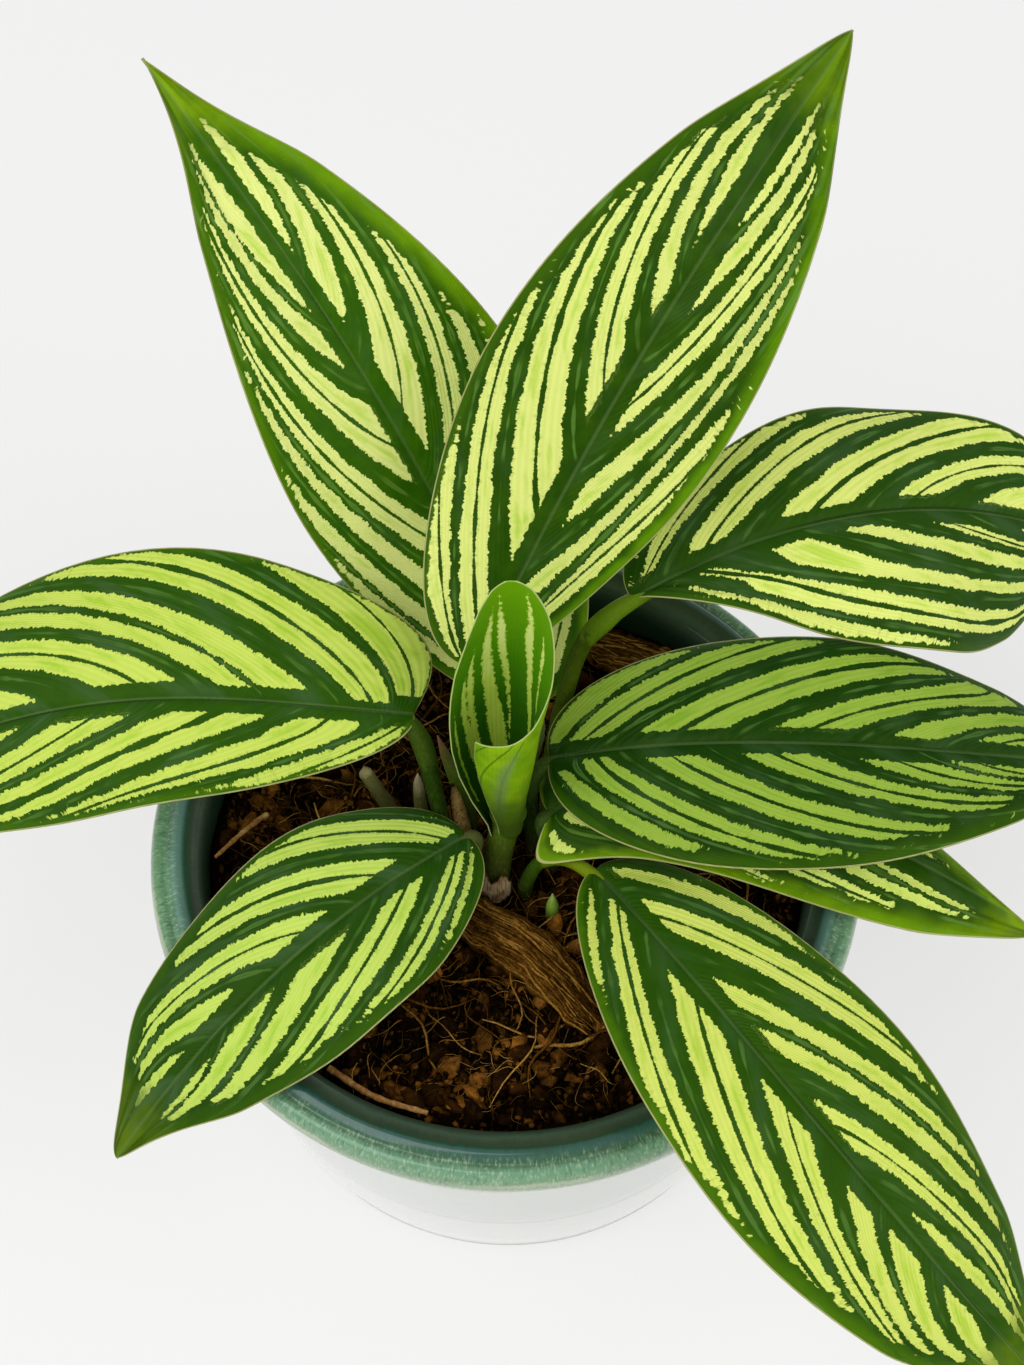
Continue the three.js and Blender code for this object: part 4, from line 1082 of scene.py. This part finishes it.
def open_blade(name, leaf):
    rows = 0.5 - 0.5 * np.cos(np.pi * np.arange(BLADE_ROWS + 1) / BLADE_ROWS)
    t, v = np.meshgrid(rows, spread(BLADE_COLUMNS), indexing="ij")
    place, upper, half = blade_surface(leaf, t, v)
    out = np.abs(v)
    off, edge = half * out, half * (1 - out)
    phase, pair, wide = np.zeros_like(t), np.zeros_like(t), np.zeros_like(t)
    for side, rows_of in zip((v < 0, v >= 0), STRIPES[name]):
        columns = np.flatnonzero(side[0])
        phase[:, columns], pair[:, columns] = stripe_phase(rows_of, t[:, columns], out[:, columns])
        wide[:, columns] = millimetres_each(place[:, columns], phase[:, columns])
    rib_length = np.linalg.norm(np.diff(midrib(leaf["rib"], rows)[0], axis=0), axis=1).sum()
    groove = GROOVE * np.exp(-((off / 0.75) ** 2)) * np.minimum(1, 3 * (1 - t))
    pucker = PUCKER * np.cos(2 * np.pi * phase) * np.clip(off / 4, 0, 1) * np.clip(edge / 3, 0, 1)
    keel = KEEL * np.exp(-((off / 1.1) ** 2)) * (1 - t) ** 0.6
    thick = MARGIN_THICK + (BLADE_THICK - MARGIN_THICK) * np.clip(edge / 2.5, 0, 1)
    top = place + upper * (thick / 2 + pucker - groove)[..., None]
    bottom = place - upper * (thick / 2 - pucker + keel)[..., None]
    points, faces = closed_sheet(top, bottom)
    *tones, brightness, borders = LEAF_TONES[name]
    made = piece_of(name.replace("leaf", "blade"), points, faces, leaf_finish(name + "_skin", *tones))
    mark(made, phase=phase, pair=pair, off=off, edge=edge, along=t, run=t * rib_length, wide=wide,
         half=(v < 0).astype(float), bright=np.where(v < 0, *brightness),
         border=np.where(v < 0, *borders) * (0.4 + 1.2 * t))
    attribute(made, "under", np.repeat([0.0, 1.0], t.size))
    return made


for name, leaf in LEAVES.items():
    blade = open_blade(name, leaf)
    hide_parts(name)
    "leaf_pale_striped" if "back" in name else "leaf_striped"
    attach(blade, "root")

# ---------------------------------------------------------------- petioles
# Round leaf stalks that come up out of the crown. Each has a short swollen joint just below its blade,
# greyer than the rest, and then runs on beneath the blade as the start of its midrib.

UNDERGROUND = (72, 85.8, 88.2)
STEM_STEPS = 8  # points laid between one station of a stem and the next
UNDER_BLADE = ((0.03, 1.75, 1.5), (0.13, 1.0, 0.8))  # share of the blade, drop below it, radius
JOINT_LENGTH = 7


def standing(x, y, radius):
    """The upright foot of a stem, from the bottom of its hole to just above the coir."""
    return [(x, y, z, radius) for z in UNDERGROUND]


PETIOLES = {  # the stalk's own points, then the colours of its foot, its middle and its swollen joint
    "leaf_back_left": (standing(3, 8, 2.2) + [(4.5, 15, 95, 2.1), (6, 22, 101, 2.3)],
                       (0.10, 0.09, 0.03), (0.16, 0.30, 0.05), (0.30, 0.38, 0.14)),
    "leaf_back_centre": (standing(-3, 7, 2.2) + [(-4, 9, 102, 2), (-6, 14, 122, 2.3)],
                         (0.10, 0.09, 0.03), (0.16, 0.30, 0.05), (0.30, 0.38, 0.14)),
    "leaf_upper_right": (standing(9, 5, 2.1) + [(10, 15, 101, 1.9), (15, 28, 118, 1.85), (21, 31, 128, 2.1)],
                         (0.035, 0.035, 0.006), (0.050, 0.085, 0.003), (0.11, 0.20, 0.006)),
    "leaf_middle_right": (standing(6, 0.5, 1.8) + [(5, 3, 99, 1.7), (6, 5.5, 109, 1.8)],
                          (0.022, 0.024, 0.005), (0.020, 0.045, 0.006), (0.035, 0.070, 0.010)),
    "leaf_lower_right": (standing(9.5, -4, 1.6) + [(8.6, -3.4, 96, 1.5), (7.6, -1.8, 102, 1.6)],
                         (0.04, 0.045, 0.008), (0.035, 0.085, 0.008), (0.035, 0.075, 0.012)),
    "leaf_front_right": (standing(4, -9.5, 1.6) + [(7, -8, 95, 1.45), (13, -9.5, 99, 1.4)],
                         (0.025, 0.04, 0.005), (0.035, 0.085, 0.004), (0.17, 0.24, 0.006)),
    "leaf_front_left": (standing(-9, -9.5, 1.7) + [(-7.6, -8, 96, 1.6), (-6.6, -5.6, 101.5, 1.7)],
                        (0.07, 0.050, 0.016), (0.05, 0.060, 0.014), (0.075, 0.085, 0.024)),
    "leaf_left": (standing(-12.5, 1.5, 1.8) + [(-14, 1.2, 104, 1.7), (-17, 7, 121, 2.0)],
                  (0.045, 0.04, 0.008), (0.016, 0.042, 0.003), (0.040, 0.075, 0.006)),
}


def stem_line(stations, steps):
    """A smooth run of points and radii through a stem's stations."""
    line = through(stations, steps)
    line[:, 3] = np.maximum(line[:, 3], 0.1)
    return line


def run_along(line):
    return np.concatenate([[0], np.cumsum(np.linalg.norm(np.diff(line[:, :3], axis=0), axis=1))])


def stalk_finish(name, stops, roughness=0.42, streak=0.35):
    """A living stalk: colours along it, with fine lengthwise fibres and paler flecks."""
    material, tree, shader = finish_of(name, roughness, 0.14, WAX_TINT)
    grain = mottle(place_in(tree, (1, 1, 0.12)), 0.45, 3)
    colour = bands((mottle(place_in(tree), 1.6, 4) - 0.5) * 0.12 + read(tree, "along"), stops)
    colour = blend(step_up(grain, 0.45, 0.7) * streak, colour, blend(0.25, colour, (0.24, 0.34, 0.05)))
    colour = blend(step_up(grain, 0.45, 0.3) * streak, colour, blend(0.6, colour, (0.03, 0.04, 0.01)))
    coat(shader, colour, grain, 0.12)
    return material


for name, (stations, foot_tone, middle_tone, joint_tone) in PETIOLES.items():
    leaf = LEAVES[name]
    for t, drop, radius in UNDER_BLADE:
        place, upper, _ = blade_surface(leaf, np.array([t]), np.array([0.0]))
        stations = stations + [(*(place - drop * upper)[0], radius)]
    line = stem_line(stations, STEM_STEPS)
    run = run_along(line)
    joint = run[STEM_STEPS * (len(stations) - 1 - len(UNDER_BLADE))]
    line[:, 3] *= 1 + 0.08 * np.exp(-(((run - joint + 2.5) / 3.5) ** 4))
    soil, joint, swell = (length / run[-1] for length in (run[STEM_STEPS], joint, JOINT_LENGTH))
    skin = stalk_finish(name + "_stalk", [(soil, foot_tone), (soil + 0.45 * (joint - soil), middle_tone),
                                          (joint - swell, middle_tone), (joint - 0.7 * swell, joint_tone),
                                          (joint + 0.1, joint_tone)])
    stalk = drawn(name.replace("leaf", "petiole"), [line], skin, sides=20)
    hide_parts(name)
    "leaf_pale_striped" if "back" in name else "leaf_striped"
    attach(stalk, "root")

# ---------------------------------------------------------------- new leaf
# The youngest leaf, still half rolled. Its back stands open and shows the striped upper face; its right
# side wraps round the front, lime green, and tucks in behind the left margin.

NEW_LEAF_FOOT = (0, -2.5, 101)
NEW_LEAF_TOP = (1.5, 8.2, 165)
NEW_LEAF_CONE = [  # height, radius, and how far round the left and the right half reach, in degrees
    (101, 3.2, 128, 212), (108, 4.9, 120, 216), (115, 6.4, 114, 226), (122, 7.8, 110, 234),
    (129, 8.9, 106, 236), (135, 9.4, 102, 232), (138, 9.6, 100, 196), (142, 9.7, 96, 140),
    (148, 9.5, 90, 98), (154, 8.9, 76, 76), (160, 8, 58, 56), (163.5, 7.4, 36, 34), (165, 7, 12, 10),
]
NEW_LEAF_FLARE = 0.14
NEW_LEAF_TUCK = 0.2
NEW_LEAF_ROWS = 176
NEW_LEAF_COLUMNS = 150
NEW_LEAF_THICK = 0.45
NEW_LEAF_RIM = 0.2
NEW_LEAF_STEM = standing(-2.6, -7.4, 3.3) + [(-1.6, -4.9, 95, 3.1), (0, -2.4, 102, 3), (0.4, -1.6, 106, 3.9)]
NEW_LEAF_STEM_TONES = [
    (0.35, (0.030, 0.028, 0.006)), (0.6, (0.040, 0.055, 0.007)), (0.9, (0.060, 0.110, 0.006)),
]

# How far the roll reaches to the left and to the right of its axis, as a share of its radius, by height
NEW_LEAF_LEAN = [
    (101, 1, 1), (105, 0.9, 0.8), (109, 1.0, 0.72), (113, 1.1, 0.66), (121, 1.15, 0.64), (129, 1.13, 0.64),
    (135, 1.1, 0.66), (141, 1.05, 0.74), (147, 1.0, 0.85), (153, 0.9, 0.93), (158, 0.85, 1), (165, 0.8, 1),
]

# Stripes on the open face, each a run of (height, turn from the midrib in degrees, half-width in mm)
NEW_LEAF_STRIPES = [
    [(110, -92, 0.2), (118, -86, 0.45), (127, -80, 0.5), (133, -77, 0.1)],
    [(114, -56, 0.3), (120, -54, 0.8), (130, -57, 0.75), (137, -56, 0.55), (140, -54, 0.1)],
    [(114, -42, 0.3), (120, -43, 0.6), (130, -46, 0.8), (139, -46, 0.75), (146, -44, 0.1)],
    [(113, -8, 0.3), (120, -12, 1.5), (128, -17, 1.45), (135, -22, 1.3), (144, -26, 1.0), (152, -27, 0.5),
     (157, -27, 0.1)],
    [(120, 5, 0.1), (126, 4, 0.35), (135, -1, 0.6), (143, -7, 0.85), (150, -10, 0.95), (156, -15, 0.5),
     (162, -20, 0.1)],
    [(118, 60, 0.3), (127, 54, 0.75), (133, 45, 0.95), (143, 33, 1.05), (148, 28, 1.2), (152, 29, 0.75),
     (157, 27, 0.5), (162, 23, 0.1)],
    [(128, 74, 0.15), (138, 61, 0.4), (146, 55, 0.6), (151, 51, 0.15)],
]
# Veins on the wrapped outer face, each a run of (height, turn)
NEW_LEAF_VEINS = [
    [(112, 196), (122, 191), (130, 183), (136, 168), (140, 156)],
    [(114, 226), (122, 226), (129, 211), (135, 192), (140, 172)],
    [(126, 236), (131, 233), (136, 213), (139, 194)],
]


def table(x, stations, column):
    """A value between stations, on straight lines."""
    return np.interp(x, *np.array(stations, float)[:, [0, column]].T)


def cone_place(height, turn):
    """A point of the rolled blade, the way out from its axis, and the roll's radius there."""
    foot, top = np.array(NEW_LEAF_FOOT, float), np.array(NEW_LEAF_TOP, float)
    axis = foot + np.multiply.outer((height - foot[2]) / (top[2] - foot[2]), top - foot)
    radius = table(height, NEW_LEAF_CONE, 1)
    drift = np.where(turn < 0, NEW_LEAF_FLARE * (turn / 110) ** 2,
                     -NEW_LEAF_TUCK * (np.maximum(turn - 60, 0) / 170) ** 2)
    way = np.stack([np.sin(np.radians(turn)), np.cos(np.radians(turn)), np.zeros_like(turn)], -1)
    place = way * (radius * (1 + drift))[..., None]
    left, right = table(height, NEW_LEAF_LEAN, 1), table(height, NEW_LEAF_LEAN, 2)
    place[..., 0] *= np.where(turn % 360 > 180, left, right)
    return axis + place, way, radius


def smooth_between(x, stations, column):
    """A value between stations, by a smooth curve through them."""
    line = through(np.array(stations, float), 12)
    order = np.argsort(line[:, 0])
    return np.interp(x, line[order, 0], line[order, column])


def inside_stripes(height, turn, radius):
    """How far each point is inside the nearest stripe, in millimetres."""
    best = np.full_like(height, -6.0)
    for run in NEW_LEAF_STRIPES:
        centre, half = smooth_between(height, run, 1), smooth_between(height, run, 2)
        room = half - np.abs(np.radians(turn - centre)) * radius
        beyond = np.maximum(run[0][0] - height, height - run[-1][0])
        best = np.maximum(best, np.where(beyond > 0, np.minimum(room, -0.3 * beyond), room))
    return best


def from_veins(height, turn, radius):
    """How far each point is from the nearest vein of the outer face, in millimetres."""
    best = np.full_like(height, 9.0)
    for run in NEW_LEAF_VEINS:
        gap = np.abs(np.radians(turn - smooth_between(height, run, 1))) * radius
        beyond = np.maximum(run[0][0] - height, 0), np.maximum(height - run[-1][0], 0)
        best = np.minimum(best, gap + 2 * beyond[0] + 2 * beyond[1])
    return best


def new_leaf_skin():
    """Green with cream stripes on the open face, and lime with dark veins on the wrapped outer one."""
    material, tree, shader = finish_of("new_leaf_skin", 0.42, 0.18, WAX_TINT)
    spot = place_in(tree)
    soft = mottle(spot, 4, 3)
    height = read(tree, "height")
    inside = read(tree, "stripe") + (mottle(spot, 0.9, 2) - 0.5) * 1.5 + (mottle(spot, 0.35, 2) - 0.5) * 0.9
    # the green and the cream both darken towards the foot of the roll: painted shade deep inside it
    green = bands(soft * 0.1 + height, [
        (0.05, (0.012, 0.060, 0.002)), (0.45, (0.022, 0.115, 0.002)), (0.7, (0.070, 0.25, 0.002)),
        (1.0, (0.14, 0.36, 0.002))])
    cream = bands(soft * 0.3 + (height - 0.15), [
        (0.2, (0.36, 0.56, 0.03)), (0.5, (0.56, 0.72, 0.09)), (0.75, (0.74, 0.84, 0.25))])
    cream = blend(step_up(inside, 0.0, 0.5), (0.42, 0.62, 0.06), cream)
    upper = blend(step_up(inside, -0.04, 0.10), green, cream)
    threads = calc("SINE", read(tree, "turn") * 1.1)
    outer = layered(
        blend(step_up(soft, 0.3, 0.7), (0.16, 0.34, 0.003), (0.27, 0.47, 0.006)),
        (threads * 0.05 + 0.05, (0.05, 0.16, 0.01)),
        (step_up(read(tree, "vein"), 0.36, 0.1) * 0.85, (0.03, 0.11, 0.004)),
        (read(tree, "grey") * 0.8, (0.17, 0.27, 0.08)),
        # painted shade: the foot of the wrapped face darkens, down among the stalks of the crown
        (step_up(soft * 0.1 + height, 0.48, 0.14), (0.055, 0.105, 0.008)),
    )
    rim = step_up(read(tree, "edge"), 0.5, 0.25)
    colour = layered(upper, (read(tree, "under"), outer), (rim * 0.8, (0.50, 0.56, 0.22)))
    coat(shader, colour, threads * 0.12 + soft * 0.6, 0.15)
    return material


def rolled_blade():
    rows, across = grid_of(NEW_LEAF_ROWS, np.linspace(0, 1, NEW_LEAF_COLUMNS + 1))
    length = NEW_LEAF_TOP[2] - NEW_LEAF_FOOT[2]
    height = NEW_LEAF_FOOT[2] + length * rows
    left, right = table(height, NEW_LEAF_CONE, 2), table(height, NEW_LEAF_CONE, 3)
    turn = -left + across * (left + right)
    place, way, radius = cone_place(height, turn)
    reach = np.radians(left + right) * radius
    edge = np.minimum(np.minimum(across, 1 - across) * reach, length * (1 - rows) + 0.4)
    thick = NEW_LEAF_RIM + (NEW_LEAF_THICK - NEW_LEAF_RIM) * np.clip(edge / 2, 0, 1)
    points, faces = closed_sheet(place - way * thick[..., None] / 2, place + way * thick[..., None] / 2)
    made = piece_of("rolled_blade", points, faces, new_leaf_skin())
    vein_turn = smooth_between(height, NEW_LEAF_VEINS[0], 1)
    grey = np.exp(-((np.radians(turn - vein_turn) * radius / 1.3) ** 2)) * np.clip((139 - height) / 6, 0, 1)
    mark(made, stripe=inside_stripes(height, turn, radius), height=rows, turn=turn,
         vein=from_veins(height, turn, radius), grey=grey, edge=edge)
    attribute(made, "under", np.repeat([0.0, 1.0], turn.size))
    return made


stem_skin = stalk_finish("new_leaf_stalk_skin", NEW_LEAF_STEM_TONES, streak=0.5)
stem = stem_line(NEW_LEAF_STEM, STEM_STEPS)
for made in (rolled_blade(), drawn("new_leaf_stalk", [stem], stem_skin, sides=32)):
    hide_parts("new_leaf_rolled")
    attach(made, "root")

# ---------------------------------------------------------------- young shoots
# Tight pointed buds that push up between the petioles, each a sheath rolled round the next. One has a
# pink tip, one is nearly white, one is small and yellow-green, and one stalk was cut off short.

SHOOTS = {  # the shoot's points, then its colours along it
    "pink_tipped_shoot": (
        standing(-8, 6, 1.9) + [(-10, 8.5, 99, 1.7), (-12.4, 11.4, 106, 1.1), (-14, 13.5, 111, 0.15)],
        [(0.4, (0.06, 0.09, 0.010)), (0.75, (0.09, 0.16, 0.014)), (0.9, (0.17, 0.15, 0.04)),
         (1.0, (0.46, 0.16, 0.12))]),
    "pale_bud": (
        standing(-18, 6, 1.5) + [(-18.3, 7.6, 94, 1.4), (-18.5, 9.2, 98.5, 1.0), (-18.5, 10, 101, 0.15)],
        [(0.45, (0.08, 0.08, 0.018)), (0.8, (0.15, 0.14, 0.045)), (1.0, (0.50, 0.42, 0.27))]),
    "green_bud": (
        standing(9.5, -15, 1.4) + [(9.5, -14.7, 90, 1.1), (9.5, -14, 92.5, 0.15)],
        [(0.6, (0.12, 0.20, 0.02)), (0.85, (0.20, 0.34, 0.04)), (1.0, (0.34, 0.46, 0.10))]),
    "cut_stub": (
        standing(-24, 7, 1.7)
        + [(-26.5, 8.5, 94, 1.6), (-29.3, 10.4, 100.2, 1.5), (-29.5, 10.5, 100.5, 1.2)],
        [(0.45, (0.07, 0.055, 0.015)), (0.8, (0.10, 0.10, 0.03)), (0.97, (0.18, 0.17, 0.06)),
         (1.0, (0.42, 0.34, 0.17))]),
}

for name, (stations, stops) in SHOOTS.items():
    skin = stalk_finish(name + "_skin", stops, 0.4, 0.5)
    shoot = drawn(name + "_shown", [stem_line(stations, STEM_STEPS)], skin, sides=20)
    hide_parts(name)
    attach(shoot, "root")

# ---------------------------------------------------------------- papery sheaths
# The dead outer sheaths of the crown, brown and thin as paper. A tall one still stands rolled to a point,
# and a low torn one stands open in front of the new leaf's stem.

SHEATH_THICK = 0.35
SHEATH_COLUMNS = 60
TORN_ROWS = 39
STRAW_TINT = (0.9, 0.7, 0.4)
BROWN_SHEATH = standing(-8.4, -2.8, 2) + [(-9, -1, 95, 1.8), (-10.2, 3, 101, 1.2), (-11, 5.2, 104.5, 0.3)]
TORN_SHEATH = dict(middle=(-2.6, -7.4), radius=4.2, turns=(-150, -34), foot=76, top=95, tear=2.2)


def thin_sheet(name, grid, thick, finish):
    """A closed sheet of that thickness round a grid of points, whose first side looks outwards."""
    down, over = np.gradient(grid, axis=0), np.gradient(grid, axis=1)
    out = unit(np.cross(down, over))
    points, faces = closed_sheet(grid - out * thick / 2, grid + out * thick / 2)
    return piece_of(name, points, faces, finish)


def papery_finish(name, pale, brown, dark):
    """Dry sheath: thin brown paper with dark lengthwise veins and blotches."""
    material, tree, shader = finish_of(name, 0.65, 0.08, STRAW_TINT)
    veins = mottle(place_in(tree, (1, 1, 0.08)), 0.35, 3)
    colour = layered(
        bands(mottle(place_in(tree), 3, 4), [(0.3, brown), (0.6, pale)]),
        (step_up(veins, 0.5, 0.36) * 0.7, dark),
        (step_up(read(tree, "edge"), 0.5, 0.1), dark),
    )
    coat(shader, colour, veins, 0.25)
    return material


def rolled_sheath():
    line = stem_line(BROWN_SHEATH, 12)
    run = np.linspace(0, 1, len(line))[:, None]
    turn = np.radians(np.linspace(-200, 155, SHEATH_COLUMNS + 1))[None, :] + 0.6 * run
    radius = line[:, 3:4] * (1 + 0.10 * turn / np.pi + 0.04 * np.sin(7 * run + 2 * turn))
    frayed = np.where(run > 0.9, 0.5 * np.sin(9 * turn) * (run - 0.9) * 10, 0)
    grid = np.stack([line[:, :1] + radius * np.cos(turn), line[:, 1:2] + radius * np.sin(turn),
                     line[:, 2:3] + frayed + 0 * turn], -1)
    skin = papery_finish("brown_sheath_skin", (0.34, 0.22, 0.07), (0.15, 0.085, 0.02), (0.03, 0.013, 0.003))
    made = thin_sheet("brown_sheath_shown", grid[::-1], SHEATH_THICK, skin)
    edge = np.minimum(np.minimum(turn - turn[:, :1], turn[:, -1:] - turn) * radius, 30 * (1 - run))
    mark(made, edge=edge[::-1])
    return made


def torn_sheath():
    low, high = TORN_SHEATH["turns"]
    rows, v = grid_of(TORN_ROWS, np.linspace(0, 1, SHEATH_COLUMNS + 1))
    crest = TORN_SHEATH["top"] + TORN_SHEATH["tear"] * np.sin(11 * v) - 3 * v + 0.35 * np.sin(41 * v)
    crest = crest + 5 * (1 - v) ** 3
    z = TORN_SHEATH["foot"] + rows * (crest - TORN_SHEATH["foot"])
    lean = 0.28 * np.maximum(z - 88, 0)
    a = np.radians(low + (high - low) * v)
    x = TORN_SHEATH["middle"][0] + 0.1 * lean + TORN_SHEATH["radius"] * np.cos(a)
    y = TORN_SHEATH["middle"][1] + 0.2 * lean + TORN_SHEATH["radius"] * np.sin(a)
    skin = papery_finish("torn_sheath_skin", (0.56, 0.42, 0.24), (0.28, 0.17, 0.07), (0.07, 0.035, 0.012))
    made = thin_sheet("torn_sheath_shown", np.stack([x, y, z], -1)[::-1], SHEATH_THICK, skin)
    edge = np.minimum(np.minimum(v, 1 - v) * 7, (1 - rows) * 14)
    mark(made, edge=edge[::-1])
    return made


for made, name in ((rolled_sheath(), "brown_sheath"), (torn_sheath(), "torn_sheath")):
    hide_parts(name)
    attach(made, "root")

# ---------------------------------------------------------------- dry stalks
# Old leaf stalks, dried to straw. Two thin ones stand in the coir and lean on the pot's inner wall, and a
# paler one lies on the coir at the front.

DRY_STALKS = {
    "dry_stalk_long": standing(-50, 20, 0.9) + [(-54, 16, 91.5, 0.8), (-60, 10, 95, 0.6)],
    "dry_stalk_short": standing(-52, 7, 0.8) + [(-56, 2, 90.5, 0.7), (-61, -5, 93, 0.5)],
    "lying_stalk": [(-36, -49, 86.5, 0.9), (-26.6, -55, 86.5, 0.8), (-16, -58.5, 86.5, 0.68)],
}


def straw_finish(name, dark, middle, pale):
    material, tree, shader = finish_of(name, 0.7, 0.1, STRAW_TINT)
    grain = mottle(place_in(tree, (0.5, 0.5, 0.3)), 0.4, 3)
    tone = grain * 0.5 + mottle(place_in(tree), 4, 3) * 0.5
    coat(shader, bands(tone, [(0.3, dark), (0.5, middle), (0.7, pale)]), grain, 0.2)
    return material


straw = straw_finish("straw", (0.12, 0.045, 0.010), (0.33, 0.16, 0.045), (0.56, 0.36, 0.15))
for name, stations in DRY_STALKS.items():
    line = stem_line(stations, 10)
    line[:, 3] *= 0.8 + 0.1 * np.sin(1.7 * run_along(line))
    stalk = drawn(name + "_shown", [line], straw, sides=14)
    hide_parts(name)
    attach(stalk, "root")

# ---------------------------------------------------------------- end
size = {"cad": [list(corner) for corner in cad_box], "visual": [list(corner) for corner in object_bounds()]}
